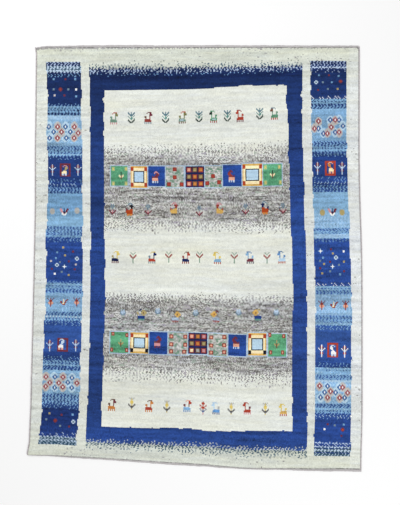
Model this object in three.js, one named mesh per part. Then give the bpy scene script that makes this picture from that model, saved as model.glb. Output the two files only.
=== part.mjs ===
import * as THREE from 'three';

// A gabbeh: a hand-knotted wool rug of about 1.5 by 1.9 m, lying flat, with no fringe.
// Millimetres, +Z up, +Y towards the far short end, origin on the floor under the rug's middle.

// Heights above the floor and widths of the parts
const PILE_TOP = 12;
const FLAT_WEAVE_TOP = 3;
const SELVEDGE_WIDTH = 6.5;
const SELVEDGE_HEIGHT = 6.5;
const GAP = 0.3;

// Corners of the whole rug, selvedges included. The near end is wider and the right side longer.
const CORNERS = {
  farLeft: [-728, 964],
  farRight: [753, 971],
  nearLeft: [-766, -897],
  nearRight: [761, -973],
};

// How far each edge bows out of the straight line between its corners, inwards if negative.
// along is the share of the edge, from left to right or from the far end to the near one.
const FAR_BOW = [
  { along: 0, out: 0 },
  { along: 0.05, out: 5 },
  { along: 0.2, out: 8 },
  { along: 0.5, out: 5 },
  { along: 0.8, out: 2 },
  { along: 1, out: 0 },
];
const NEAR_BOW = [
  { along: 0, out: 0 },
  { along: 0.05, out: -1 },
  { along: 0.15, out: 1.5 },
  { along: 0.49, out: 11 },
  { along: 0.65, out: 14 },
  { along: 0.82, out: 8 },
  { along: 1, out: 0 },
];
const LEFT_BOW = [
  { along: 0, out: 0 },
  { along: 0.02, out: -5 },
  { along: 0.2, out: -8 },
  { along: 0.43, out: -14 },
  { along: 0.6, out: -14 },
  { along: 0.86, out: -12 },
  { along: 0.96, out: -9 },
  { along: 1, out: 0 },
];
const RIGHT_BOW = [
  { along: 0, out: 0 },
  { along: 0.27, out: -2 },
  { along: 0.55, out: 8.5 },
  { along: 0.83, out: 7 },
  { along: 1, out: 0 },
];

// How deep the flat-woven end shows beyond the pile, from left to right
const FAR_FLAT_WEAVE = [
  { along: 0, depth: 11 },
  { along: 0.2, depth: 15 },
  { along: 1, depth: 13 },
];
const NEAR_FLAT_WEAVE = [
  { along: 0, depth: 5 },
  { along: 0.1, depth: 10 },
  { along: 0.49, depth: 14 },
  { along: 0.65, depth: 10 },
  { along: 1, depth: 17 },
];

// The body's section, from the floor up: z is the height, side and end the distances in from the
// body's own edge, and ends marked pile stand back by the depth of the flat weave as well.
const BODY_SECTION = [
  { z: 0, side: 0.6, end: 0.6, pile: false },
  { z: 1, side: 0, end: 0, pile: false },
  { z: FLAT_WEAVE_TOP - 0.6, side: 0, end: 0, pile: false },
  { z: FLAT_WEAVE_TOP, side: 0.8, end: 0.8, pile: false },
  { z: FLAT_WEAVE_TOP + 0.2, side: 1.2, end: 1, pile: true },
  { z: PILE_TOP - 4, side: 0, end: -1.5, pile: true },
  { z: PILE_TOP - 1.2, side: 1.4, end: 0, pile: true },
  { z: PILE_TOP, side: 4.5, end: 3, pile: true },
];

// Steps along the edges, and the share of the selvedge's section left at its two tips
const SIDE_STEPS = 32;
const END_STEPS = 24;
const SELVEDGE_SIDES = 12;
const TIP_SCALE = 0.65;
const TIP_LENGTH = 4;

// A value from a table of rows at any share, eased between the rows so that it has no kinks.
function along(table, share, key) {
  const next = Math.max(1, table.findIndex((row) => row.along >= share));
  const from = table[next - 1];
  const to = table[next];
  const step = (share - from.along) / (to.along - from.along);
  return THREE.MathUtils.lerp(from[key], to[key], THREE.MathUtils.smoothstep(step, 0, 1));
}

// A point on one edge of the whole rug: the straight line between two corners, bowed out.
function edgePoint(start, end, table, outward, share) {
  const point = new THREE.Vector2(...start).lerp(new THREE.Vector2(...end), share);
  return point.addScaledVector(outward, along(table, share, 'out'));
}

const LEFTWARD = new THREE.Vector2(-1, 0);
const RIGHTWARD = new THREE.Vector2(1, 0);
const FARWARD = new THREE.Vector2(0, 1);
const NEARWARD = new THREE.Vector2(0, -1);

// The four edges as functions: across runs from 0 at the left to 1 at the right, and up from 0 at
// the near end to 1 at the far end.
const farEdge = (across) => edgePoint(CORNERS.farLeft, CORNERS.farRight, FAR_BOW, FARWARD, across);
const nearEdge = (across) =>
  edgePoint(CORNERS.nearLeft, CORNERS.nearRight, NEAR_BOW, NEARWARD, across);
const leftEdge = (up) =>
  edgePoint(CORNERS.farLeft, CORNERS.nearLeft, LEFT_BOW, LEFTWARD, 1 - up);
const rightEdge = (up) =>
  edgePoint(CORNERS.farRight, CORNERS.nearRight, RIGHT_BOW, RIGHTWARD, 1 - up);

// Any point of the rug seen from above: the surface that blends the four bowed edges.
function plan(across, up) {
  const point = nearEdge(across).multiplyScalar(1 - up);
  point.addScaledVector(farEdge(across), up);
  point.addScaledVector(leftEdge(up), 1 - across);
  point.addScaledVector(rightEdge(up), across);
  point.addScaledVector(new THREE.Vector2(...CORNERS.nearLeft), -(1 - across) * (1 - up));
  point.addScaledVector(new THREE.Vector2(...CORNERS.nearRight), -across * (1 - up));
  point.addScaledVector(new THREE.Vector2(...CORNERS.farLeft), -(1 - across) * up);
  point.addScaledVector(new THREE.Vector2(...CORNERS.farRight), -across * up);
  return point;
}

// The same, moved in by a distance at the sides and by one at each end.
function insetPlan(across, up, side, near, far) {
  const width = leftEdge(up).distanceTo(rightEdge(up));
  const length = nearEdge(across).distanceTo(farEdge(across));
  const u = THREE.MathUtils.lerp(side / width, 1 - side / width, across);
  const v = THREE.MathUtils.lerp(near / length, 1 - far / length, up);
  return plan(u, v);
}

// The stations round the rug, anticlockwise from the near left corner.
function stationsRound() {
  const near = Array.from({ length: END_STEPS }, (_, i) => [i / END_STEPS, 0]);
  const right = Array.from({ length: SIDE_STEPS }, (_, i) => [1, i / SIDE_STEPS]);
  const far = near.map(([across]) => [1 - across, 1]);
  const left = right.map(([, up]) => [0, 1 - up]);
  return [...near, ...right, ...far, ...left];
}

// A closed solid from rings of points that match one to one, with a flat cap at each end. Each
// ring runs anticlockwise when the rings rise towards the eye.
function loft(rings, toPlane) {
  const count = rings[0].length;
  const positions = rings.flat().flatMap((p) => [p.x, p.y, p.z]);
  const index = [];
  for (let ring = 0; ring + 1 < rings.length; ring += 1) {
    for (let i = 0; i < count; i += 1) {
      const a = ring * count + i;
      const b = ring * count + ((i + 1) % count);
      index.push(a, b, b + count, a, b + count, a + count);
    }
  }
  const last = (rings.length - 1) * count;
  for (const [a, b, c] of THREE.ShapeUtils.triangulateShape(rings[0].map(toPlane), [])) {
    index.push(a, c, b);
  }
  for (const [a, b, c] of THREE.ShapeUtils.triangulateShape(rings.at(-1).map(toPlane), [])) {
    index.push(last + a, last + b, last + c);
  }
  const geometry = new THREE.BufferGeometry();
  geometry.setAttribute('position', new THREE.Float32BufferAttribute(positions, 3));
  geometry.setIndex(index);
  geometry.computeVertexNormals();
  return geometry;
}

// The woven body: its section carried round the rug inside the two selvedges.
function bodyGeometry() {
  const stations = stationsRound();
  const rings = BODY_SECTION.map((row) => stations.map(([across, up]) => {
    const near = row.end + (row.pile ? along(NEAR_FLAT_WEAVE, across, 'depth') : 0);
    const far = row.end + (row.pile ? along(FAR_FLAT_WEAVE, across, 'depth') : 0);
    const point = insetPlan(across, up, SELVEDGE_WIDTH + GAP + row.side, near, far);
    return new THREE.Vector3(point.x, point.y, row.z);
  }));
  return loft(rings, (p) => new THREE.Vector2(p.x, p.y));
}

// The selvedge's section: a regular outline that rests on one of its flats, as points of x and z.
function selvedgeSection() {
  const half = Math.PI / SELVEDGE_SIDES;
  const flatHeight = Math.cos(half);
  return Array.from({ length: SELVEDGE_SIDES }, (_, i) => {
    const angle = -Math.PI / 2 + half + i * 2 * half;
    const x = (Math.cos(angle) * SELVEDGE_WIDTH) / 2;
    const z = ((Math.sin(angle) / flatHeight + 1) * SELVEDGE_HEIGHT) / 2;
    return new THREE.Vector2(x, z);
  });
}

// One selvedge: the section carried along a side, and drawn in over the last few millimetres.
function selvedgeGeometry(edge, inward) {
  const section = selvedgeSection();
  const tip = TIP_LENGTH / (CORNERS.farLeft[1] - CORNERS.nearLeft[1]);
  const even = Array.from({ length: SIDE_STEPS + 1 }, (_, i) => i / SIDE_STEPS);
  const ups = [0, tip, ...even.slice(1, -1), 1 - tip, 1];
  const rings = ups.map((up) => {
    const centre = edge(up).addScaledVector(inward, SELVEDGE_WIDTH / 2);
    const scale = up === 0 || up === 1 ? TIP_SCALE : 1;
    return section.map((p) => new THREE.Vector3(centre.x - p.x * scale, centre.y, p.y * scale));
  });
  return loft(rings, (p) => new THREE.Vector2(-p.x, p.z));
}

function piece(name, geometry, material) {
  const mesh = new THREE.Mesh(geometry, material);
  mesh.name = name;
  return mesh;
}

const wool = (color) => new THREE.MeshStandardMaterial({ color, roughness: 0.95, metalness: 0 });

const rug = new THREE.Group();
rug.add(piece('rug_body', bodyGeometry(), wool(0xdedfd3)));
rug.add(piece('selvedge_left', selvedgeGeometry(leftEdge, RIGHTWARD), wool(0xb3a9ac)));
rug.add(piece('selvedge_right', selvedgeGeometry(rightEdge, LEFTWARD), wool(0xb3a9ac)));

// The origin goes under the middle of the rug's box.
const middle = new THREE.Box3().setFromObject(rug, true).getCenter(new THREE.Vector3());
rug.position.set(-middle.x, -middle.y, 0);

export default rug;
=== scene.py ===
import math

import bpy
import numpy as np
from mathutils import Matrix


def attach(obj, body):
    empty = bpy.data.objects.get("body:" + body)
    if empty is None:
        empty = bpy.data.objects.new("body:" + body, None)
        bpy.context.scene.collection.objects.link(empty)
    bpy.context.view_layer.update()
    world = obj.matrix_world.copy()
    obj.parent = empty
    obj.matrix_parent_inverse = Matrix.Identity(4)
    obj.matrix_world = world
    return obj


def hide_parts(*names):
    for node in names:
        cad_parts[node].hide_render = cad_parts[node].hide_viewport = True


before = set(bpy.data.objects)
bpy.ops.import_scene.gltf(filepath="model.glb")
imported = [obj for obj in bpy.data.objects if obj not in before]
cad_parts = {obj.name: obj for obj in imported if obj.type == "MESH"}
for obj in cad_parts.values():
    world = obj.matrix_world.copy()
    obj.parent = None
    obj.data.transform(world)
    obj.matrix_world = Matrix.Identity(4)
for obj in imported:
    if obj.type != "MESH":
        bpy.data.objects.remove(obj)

bl_info = {
    "name": "Gabbeh rug",
    "version": (1, 0, 0),
    "blender": (4, 5, 0),
    "location": "View3D > Sidebar > Gabbeh",
    "description": "Knots a gabbeh rug knot by knot, with its foundation, flat-woven ends and selvedges",
    "category": "Object",
}

MM = 0.001

# The middle of the rug's box in the coordinates of the outline below, in millimetres.
BOX_MIDDLE = np.array((0.1, 0.3))

# Corners of the whole rug, selvedges included, in millimetres.
FAR_LEFT = np.array((-728.0, 964.0))
FAR_RIGHT = np.array((753.0, 971.0))
NEAR_LEFT = np.array((-766.0, -897.0))
NEAR_RIGHT = np.array((761.0, -973.0))

# How far each edge bows out, in millimetres, by its share from left to right or from far to near.
FAR_BOW = ((0, 0), (0.05, 5), (0.2, 8), (0.5, 5), (0.8, 2), (1, 0))
NEAR_BOW = ((0, 0), (0.05, -1), (0.15, 1.5), (0.49, 11), (0.65, 14), (0.82, 8), (1, 0))
LEFT_BOW = ((0, 0), (0.02, -5), (0.2, -8), (0.43, -14), (0.6, -14), (0.86, -12), (0.96, -9), (1, 0))
RIGHT_BOW = ((0, 0), (0.27, -2), (0.55, 8.5), (0.83, 7), (1, 0))

# Depth of the flat-woven ends beyond the pile, in millimetres, by the share from left to right.
FAR_DEPTH = ((0, 11), (0.2, 15), (1, 13))
NEAR_DEPTH = ((0, 5), (0.1, 10), (0.49, 14), (0.65, 10), (1, 17))

# Width of a knot in millimetres.
KNOT = 4.55

# The chart is counted in knots from its far left corner: columns rightwards, rows
# towards the near end. The rug's middle is at this column and row.
CHART_MIDDLE = np.array((194.6, 258.45))

# The rows of the frame and of the grey bands are those of their knots in this column.
MIDDLE_COLUMN = 195

# The knot rows fan out, as a weaver beats one side harder than the other. Each line gives a share
# of the way down, then how many knots the row lies nearer than an even one at seven stations.
DRIFT_STATIONS = (0, 0.097, 0.22, 0.497, 0.785, 0.91, 1)
ROW_DRIFT = (
    (0, 0, 0, 0, 0, 0, 0, 0),
    (0.032, 1.0, 1.0, 0.7, 0, -1.2, -1.3, -1.3),
    (0.098, 2.0, 2.0, 2.0, 0, -4.4, -4.6, -4.6),
    (0.165, 2.6, 2.6, 2.4, 0, -4.1, -5.5, -5.5),
    (0.221, 3.7, 3.7, 2.8, 0, -3.4, -5.0, -5.0),
    (0.31, 1.7, 1.7, 0.8, 0, -3.1, -3.3, -3.3),
    (0.505, 2.9, 2.9, 2.6, 0, -1.9, -2.6, -2.6),
    (0.712, 1.9, 1.9, 1.6, 0, -1.1, 0.9, 0.9),
    (0.864, 1.5, 1.5, 2.9, 0, -0.2, 2.1, 2.1),
    (0.946, 2.5, 2.5, 3.3, 0, -0.7, 2.4, 2.4),
    (1, 0, 0, 0, 0, 0, 0, 0),
)

# Shares of the width over which the drift is smoothed at each place.
DRIFT_SPREAD = (-0.05, 0, 0.05)

# Edges of the blue frame: the column of each by chart row, and the row of the field's ends by
# chart column.
FRAME_OUTER_LEFT = (
    (65, 88.9), (110, 90), (160, 90.3), (280, 90.2), (340, 89.5), (400, 87.6), (440, 85),
)
FRAME_INNER_LEFT = (
    (90, 104.1), (97, 103.6), (99.5, 101.9), (102, 103.6), (115, 103.4), (160, 103.8), (220, 104.2),
    (250, 104.6), (275, 105), (300, 105), (330, 103.9), (345, 103), (380, 102.9), (405, 101.3),
    (420, 101.6),
)
FRAME_INNER_RIGHT = (
    (85, 286.5), (101, 286.8), (103, 286.2), (106, 287), (120, 288), (160, 289.3), (210, 290),
    (250, 292.2), (290, 293.3), (340, 292.2), (430, 292.9),
)
FRAME_OUTER_RIGHT = (
    (65, 302.6), (93, 302.2), (95, 300.1), (97, 302.3), (140, 302.8), (170, 304), (200, 304.4),
    (260, 306.5), (290, 307.2), (448, 307.6),
)
FIELD_TOP = ((104, 90.5), (150, 90), (190, 89.4), (210, 88), (245, 85.3), (286, 84.9))
FIELD_BOTTOM = (
    (102, 426.3), (118, 427.2), (190, 428.6), (210, 431.1), (265, 431), (280, 430.3), (293, 431.8),
)

# The frame stands between these rows, beyond which the border's ivory is laid first.
FRAME_ROWS = (75, 447)

# How the frame dissolves into the ivory at both ends: the row where each stage begins, the wool
# of its ground if it isn't the border's, the wool of its dots, and their share where the stage
# begins and where it ends.
FRAME_STAGES = (
    (58.5, "", "bottle", 0, 0.02), (62.5, "", "pine", 0.03, 0.25), (66.5, "", "ink", 0.25, 0.55),
    (68.6, "mist", "ink", 0.55, 0.6), (71.3, "mist", "ink", 0.64, 0.78), (73, "light", "ink", 0.72, 0.9),
    (75, "ink", "light", 0.02, 0), (79, "deep", "", 0, 0), (441.3, "deep", "border", 0.03, 0.22),
    (443, "deep", "border", 0.25, 0.5), (446, "border", "pine", 0.44, 0.3),
    (448.5, "border", "pine", 0.28, 0.06), (453.5, "border", "pine", 0.03, 0), (456, "", "", 0, 0),
)

# How far the dots of a dotted ground move sideways from row to row, in knots, and their pitch.
# The real ones stand about two knots apart, and are drawn coarser here so that they can be seen.
ZIGZAG = np.array((0, 0.7, 1.4, 0.7))
DOT_PITCH = 3.4

# How much of the other wool is plied into the yarn of dots and of the ground between them.
PLIED = 0.25

# Chance in the dots: how far they wander along a row in knots and from their place in the pitch,
# then how far a dot may come out of its turn in the grey bands and in the frame.
DOT_WANDER = 0.3
DOT_JITTER = 0.06
SLANT_JITTER = 0.05
SPECK_CHANCE = 0.5
GRAIN_CHANCE = 0.65

# How far the upright and the level edges of the pattern stray, in knots.
UPRIGHT_WAVER = 0.25
LEVEL_WAVER = 0.15

# Light wool outshines dark wool between it: the darker one is given this much more, by share.
OUTSHONE = 0.42

# The share of grey knots in the far end's first row, by chart column.
WORN_SHARE = ((30, 0.9), (120, 0.75), (200, 0.5), (300, 0.1))

# Stray grey knots in the ivory border: each wool with the noise above which it shows, how much
# the noise of whole patches adds to that of single knots, and what is added to both by row, as
# there are more of them near both ends.
STRAY_WOOLS = (("ash", 2.9), ("smoke", 3.6))
STRAY_PATCHES = 0.6
STRAY_BY_ROW = ((52, 0.5), (66, 0), (440, 0), (460, 0.5))

# Rows of the right column where the dots stand in slanting lines, and where that column begins.
SLANTED_ROWS = ((95.5, 98.5), (282, 285.6))
SLANTED_FROM_COLUMN = 300

# The share of grey knots by row, for the two grey bands.
GREY_SHARE = (
    (142, 0), (145, 0.2), (151, 0.55), (157, 0.82), (163, 1), (219, 1), (221, 0.87), (224, 0.67),
    (227, 0.47), (230, 0.26), (233.5, 0), (291, 0), (293, 0.08), (296, 0.3), (299, 0.6), (302, 0.9),
    (304, 1), (369, 1), (371, 0.82), (374, 0.5), (377, 0.3), (380, 0.22), (383, 0.08), (385, 0),
)

# The natural wools of the grey bands and of the mixed squares. Each shows below its own limit of
# tone, unless a later one does.
GREY_WOOLS = (("silver", 9), ("ash", 0.8), ("smoke", -0.25), ("coal", -1.3))
MIXED_WOOLS = (("silver", 9), ("ash", 0.9), ("willow", 0.2), ("sage", -0.7))

# The tone of the grey bands and of all yarn: how much it varies from knot to knot, then layers of
# noise with their strength and their reach in rows and columns of knots.
GREY_NOISE = (0.75, (0.4, 0.35, 1.5), (0.4, 0.35, 7), (0.12, 2.5, 20))
YARN_NOISE = (0.7, (0.4, 0.6, 2), (0.55, 0.7, 14), (0.4, 3, 30))

# Tinted flecks of the grey bands: how strong the tint must be, and the tone it must be above.
TINT_LIMIT = 1.5
TINT_TONE = -0.8

# Left and right edges of the two border columns, by chart row.
LEFT_COLUMN = (
    (62, 46, 80.3), (76, 46.3, 80.6), (93, 47.5, 81.5), (95, 48.3, 81.7), (97, 47.4, 81.2),
    (100, 47.3, 80.7), (112, 47, 80.6), (118, 46.8, 80.9), (140, 46.6, 81.8), (155, 47, 82),
    (164, 47.3, 82), (178, 48, 82), (190, 48, 81.8), (200, 47.5, 82.5), (210, 46.5, 82.5),
    (225, 46.1, 82.3), (237, 45.5, 81.7), (240, 45.3, 81.8), (248, 45, 82.2), (252, 46.5, 82.8),
    (260, 46, 82.5), (270, 45.2, 82), (283, 45.8, 82), (292, 45.2, 82.7), (312, 45, 81.9),
    (320, 44.5, 81.3), (326, 43, 81.3), (335, 43.4, 81), (345, 44, 81), (355, 43, 80.5),
    (362, 43, 80), (370, 42.3, 80), (385, 42, 80), (400, 41.7, 78.7), (410, 41.5, 78.7),
    (420, 40.8, 78), (430, 39, 77.3), (436, 38.5, 76), (444, 38, 75.6),
)
RIGHT_COLUMN = (
    (60, 310.7, 346.9), (95, 311.3, 346.8), (120, 311.8, 347), (150, 312.6, 347.4),
    (170, 312.8, 347.6), (225, 314, 349.6), (280, 315.5, 351.6), (330, 315.8, 352),
    (400, 315, 351.4), (455, 314.2, 350.7),
)

# Bands of the border columns: the row where each begins, its wool, the wool of the dots on it
# and their share.
LEFT_BANDS = (
    (61.6, "mist", "ink", 0.4), (62.6, "mist", "ink", 0.72), (63.6, "mist", "ink", 0.6),
    (65.6, "mist", "pine", 0.36), (68.4, "mist", "pine", 0.68), (69.5, "mist", "pine", 0.24),
    (71.7, "mist", "ink", 0.55), (72.7, "ink", "light", 0.22), (73.7, "ink", "light", 0.36),
    (76.6, "deep", "", 0),
    (103.2, "deep", "light", 0.2), (104.2, "deep", "light", 0.32), (105.2, "deep", "light", 0.46),
    (106, "light", "pale", 0.2), (106.9, "light", "ink", 0.34), (108.8, "light", "ink", 0.13),
    (109.8, "light", "ink", 0.31), (111.7, "light", "ink", 0.1), (112.7, "light", "ink", 0.5),
    (113.7, "light", "ink", 0.6), (114.7, "light", "ink", 0.35), (115.6, "sky", "pale", 0.3),
    (119, "light", "sky", 0.5),
    (145.8, "light", "deep", 0.2), (146.8, "light", "deep", 0.34), (150.6, "light", "deep", 0.2),
    (152.6, "light", "deep", 0.34), (153.6, "light", "pale", 0.1), (154.6, "light", "deep", 0.28),
    (155.6, "light", "deep", 0.62), (156.6, "deep", "light", 0.22), (159.7, "deep", "", 0),
    (178.7, "deep", "light", 0.14), (179.7, "deep", "light", 0.27), (181.7, "deep", "light", 0.13),
    (183.7, "deep", "pale", 0.3), (185.7, "deep", "light", 0.2), (186.7, "deep", "light", 0.33),
    (187.7, "light", "deep", 0.47), (193.6, "powder", "", 0), (211, "powder", "light", 0.5),
    (216, "light", "", 0),
    (225.8, "light", "deep", 0.22), (226.7, "light", "deep", 0.3), (232.8, "light", "deep", 0.17),
    (233.7, "light", "deep", 0.33), (235.6, "light", "deep", 0.06), (236.7, "light", "deep", 0.2),
    (237.6, "deep", "light", 0.22), (238.6, "deep", "light", 0.33), (240.7, "deep", "light", 0.2),
    (242, "deep", "", 0),
    (280.8, "deep", "light", 0.22), (281.8, "deep", "light", 0.36), (282.8, "light", "deep", 0.36),
    (283.7, "light", "pale", 0.1), (285.7, "light", "deep", 0.34), (286.7, "light", "deep", 0.15),
    (288.7, "light", "deep", 0.3), (289.7, "light", "deep", 0.42), (291.7, "light", "deep", 0.22),
    (292.7, "light", "sky", 0.3),
    (311.6, "light", "deep", 0.36), (315.6, "light", "mist", 0.4), (317.7, "light", "deep", 0.32),
    (318.7, "light", "deep", 0.17), (320.7, "deep", "light", 0.4), (321.7, "deep", "light", 0.27),
    (325.7, "bright", "", 0),
    (352, "deep", "", 0), (355.8, "deep", "light", 0.14), (356.8, "deep", "light", 0.24),
    (359.6, "deep", "light", 0.36), (360.6, "light", "deep", 0.3), (362.6, "light", "deep", 0.4),
    (363.6, "light", "deep", 0.26), (364.6, "light", "pale", 0.15), (365.6, "light", "deep", 0.38),
    (366.6, "light", "deep", 0.58), (369.6, "light", "deep", 0.36), (370.6, "light", "sky", 0.4),
    (392.6, "light", "deep", 0.15), (393.6, "light", "deep", 0.33), (394.6, "light", "deep", 0.46),
    (396.6, "light", "deep", 0.3), (400.6, "light", "deep", 0.38), (403.6, "light", "deep", 0.55),
    (404.6, "deep", "light", 0.24), (408.6, "ink", "", 0),
    (431.8, "ink", "mist", 0.08), (432.8, "ink", "mist", 0.16), (434.8, "ink", "mist", 0.22),
    (435.8, "mist", "ink", 0.5), (436.8, "mist", "pine", 0.35), (437.8, "mist", "pine", 0.6),
    (439.8, "mist", "pine", 0.35), (440.8, "mist", "pine", 0.57), (441.8, "mist", "pine", 0.72),
    (444.9, "", "", 0),
)
RIGHT_BANDS = (
    (60.3, "mist", "ink", 0.4), (61.5, "mist", "ink", 0.66), (65.6, "mist", "ink", 0.38),
    (66.6, "mist", "ink", 0.13), (67.5, "mist", "ink", 0.66), (68.5, "ink", "mist", 0.15),
    (72.7, "deep", "", 0),
    (95.5, "deep", "white", 0.14), (96.5, "deep", "white", 0.24), (97.5, "deep", "white", 0.36),
    (98.5, "light", "ink", 0.12), (100.5, "light", "ink", 0.35), (101.5, "light", "ink", 0.1),
    (103.5, "light", "ink", 0.53), (105.5, "light", "ink", 0.37), (107.5, "light", "ink", 0.45),
    (108.7, "light", "", 0),
    (140.6, "light", "deep", 0.2), (141.6, "light", "deep", 0.42), (143.6, "light", "deep", 0.33),
    (145.6, "light", "deep", 0.1), (147.6, "light", "deep", 0.27), (149.6, "light", "pale", 0.1),
    (150.6, "light", "deep", 0.14), (151.6, "light", "deep", 0.43), (152.6, "deep", "light", 0.22),
    (153.6, "deep", "light", 0.42), (155.6, "deep", "light", 0.16), (156.5, "deep", "", 0),
    (176.7, "deep", "light", 0.25), (178.6, "deep", "light", 0.16), (181.6, "deep", "pale", 0.36),
    (183.6, "deep", "light", 0.1), (184.6, "light", "deep", 0.5), (191.5, "light", "", 0),
    (212, "light", "sky", 0.5), (217, "sky", "light", 0.3),
    (227.6, "light", "deep", 0.17), (228.6, "light", "deep", 0.36), (229.6, "light", "deep", 0.27),
    (230.6, "light", "deep", 0.15), (233.6, "sky", "pale", 0.15), (237.6, "light", "deep", 0.3),
    (238.6, "deep", "light", 0.25), (239.6, "deep", "light", 0.38), (241.6, "deep", "light", 0.25),
    (242.6, "deep", "", 0),
    (282.4, "deep", "white", 0.17), (284.6, "deep", "white", 0.24), (285.6, "light", "pale", 0.1),
    (287.6, "light", "deep", 0.28), (289.6, "light", "pale", 0.1), (290.6, "light", "deep", 0.28),
    (294.6, "sky", "light", 0.3),
    (315.7, "light", "deep", 0.28), (319.6, "light", "deep", 0.14), (322.6, "light", "sky", 0.5),
    (324.6, "light", "deep", 0.3), (325.6, "bright", "light", 0.16), (326.6, "bright", "light", 0.34),
    (329.6, "bright", "", 0),
    (362.7, "deep", "light", 0.2), (363.7, "deep", "light", 0.27), (366.6, "deep", "light", 0.17),
    (367.6, "light", "pale", 0.2), (369.6, "light", "deep", 0.13), (370.6, "light", "pale", 0.1),
    (374.6, "light", "deep", 0.27), (377.6, "light", "deep", 0.13), (379.6, "pale", "sky", 0.3),
    (382, "sky", "light", 0.4),
    (403.6, "light", "deep", 0.38), (404.6, "light", "deep", 0.46), (405.6, "light", "deep", 0.33),
    (407.6, "light", "pale", 0.1), (409.6, "light", "deep", 0.24), (411.6, "sky", "", 0),
    (412.6, "light", "deep", 0.22), (413.6, "deep", "light", 0.42), (414.6, "deep", "light", 0.3),
    (415.6, "deep", "pale", 0.28), (418.6, "deep", "light", 0.24), (419.6, "deep", "", 0),
    (441.6, "deep", "mist", 0.16), (442.6, "deep", "mist", 0.62), (443.6, "mist", "ink", 0.72),
    (444.6, "mist", "ink", 0.88), (445.6, "mist", "ink", 0.6), (446.6, "mist", "pine", 0.25),
    (447.6, "mist", "ink", 0.76), (448.6, "mist", "pine", 0.72), (449.6, "mist", "pine", 0.2),
    (450.6, "mist", "pine", 0.32), (451.6, "mist", "pine", 0.68), (452.6, "mist", "ink", 0.82),
    (453.6, "mist", "pine", 0.7), (454.8, "mist", "pine", 0.55), (456.2, "", "", 0),
)

# The two border columns: edges, bands, and the chart column that the bands' rows are counted at.
BORDER_COLUMNS = ((LEFT_COLUMN, LEFT_BANDS, 62), (RIGHT_COLUMN, RIGHT_BANDS, 331))

# Motifs charted knot by knot, far row first. Each letter stands for a wool given with the motif.
# The box on a goat's side, i, has the wool of its body, b, unless another one is given.
CHARTS = {
    "goat": (
        "...cccc.", "..c..hh.", ".....hhh", ".....hhh", "tt...n..", "tt...n..", ".t...n..",
        "bbbbbb..", "biiiibb.", "bbbbbbb.", "l.l.l.l.", "l.l.l.l.",
    ),
    "goat_round": (
        "...kk.....", "..kk.hhh..", "....khhhh.", "t...hhihhh", "tt..hhihhh", ".t...hhhh.",
        "......hh..", ".bbbbbbb..", ".bbbbbbb..", ".bbbbbbb..", ".lllllll..", "..l.l.l...",
    ),
    "goat_stout": (
        "...ccc..", "..cc.cc.", ".c..hhh.", "....hhhh", ".....hh.", "t....hh.", "tt..bbb.",
        "tbbbbbb.", "bbbbbbb.", "bbbbbbb.", ".bbbbbb.", ".llllll.", ".ll.ll..",
    ),
    "goat_small": (
        "...cc..", "..cccc.", "..c.hhc", "....hhh", "...hhhh", "t.hhhh.", "tthhhh.", "bbbbbb.",
        "bbbbbb.", "bbbbbb.", "ll.l.l.", "ll.l.l.",
    ),
    "kid": (
        "..ccc..", ".c..hc.", "...hhh.", "...hhh.", "...hh..", "..hh...", ".bbbb..", "bbbbb..",
        "bbbbb..", "ll.ll..", "ll.ll..",
    ),
    "plant_far": (
        "s..s..s", "ss.s.ss", ".sssss.", "..sss.s", "g..g.g.", ".g.gg..", "..ggg.g", "k..g..k",
        "kk...kk", ".kk.kk.", "..kkk..",
    ),
    "plant_middle": (
        ".g...g.", "..g.g..", "m..g..m", "mm...mm", ".mm.mm.", "..mmm..", "...g...", "...g...",
        "...g...", "...g...", "...g...",
    ),
    "plant_near": (
        ".g.g.g.", "..gyg..", "...y...", "..yyy..", "..yyy..", "..yyy..", "k..y..k", "kk.y.kk",
        ".kkkkk.", "..kkk..", "...k...", "...y...",
    ),
    "plant_red": (
        "...r...", "..rrr..", "..rrr..", "r..r..r", "rr.r.rr", "..rrr..", ".rrrrr.", "d..r..d",
        ".d.d.d.", "..ddd..", "...d...", "...p...", "...p...",
    ),
    "plant_grey": (
        "..s.s..", "..sss..", ".ss.ss.", "..sss..", "s..s..s", "...s...", "m..w..m", "mm.w.mm",
        ".mmwmm.", "..mmm..", "...m...",
    ),
    "tulip": (
        ".s.ss.", ".ssss.", "kssssk", "kssssk", "kksskk", ".kkkk.", "..gg..", "..ggg.",
    ),
    "lily": (
        "...p...", "..mpm..", "..mpm..", "w.mpm.w", ".w.w.w.", "..www..", "...w...", "..dwd..",
        "..dwd..", "...w...", "...w...", "...w...",
    ),
    "wings": (
        "dd..w..mm", "ddd.w.mmm", ".dd.w.mm.", ".ddwwwmm.", "..gdwmg..", "..ggwgg..", "...ggg...",
    ),
    "blob": (".sss.", "sssss", "sssss", "sssss", "sssss", ".sss."),
    "bush": (
        "t..m..t", ".t.m.t.", "..mmm..", "..mmm..", ".oomoo.", ".oomoo.", "..omo..", "...m...",
        "...m...",
    ),
    "crook": ("...w..mm", "...w.mm.", "mm.w.m..", "mm.wmm..", ".mwwm...", "..mmm..."),
    "diamond": ("..n..", ".nnn.", "nnwnn", "nnwnn", ".nnn.", "..n.."),
    "patch": ("..hhh..", ".hhhhh.", *["hhhhhhh"] * 5, ".hhhhh.", "..hhh.."),
    "blossom": (".oo.", "oiio", "oiio", ".oo."),
    "star": ("..i..", "..o..", "ioooi", "..o..", "..i.."),
    "mote": ("oo", "oo"),
    "stud": ("ooo", "oio", "oio", "ooo"),
    "button": ("oooo", "oiio", "oiio", "oooo"),
    "pen": ("rrrrrrrrrrr", "rrrrrrrrrrr", *["rr.......rr"] * 10, "rrrrrrrrrrr", "rrrrrrrrrrr"),
    "sprig": (
        "..k..", "..k..", "..k..", "y.m.y", "yymyy", ".ymy.", "..m..", "..m..",
    ),
}

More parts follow.
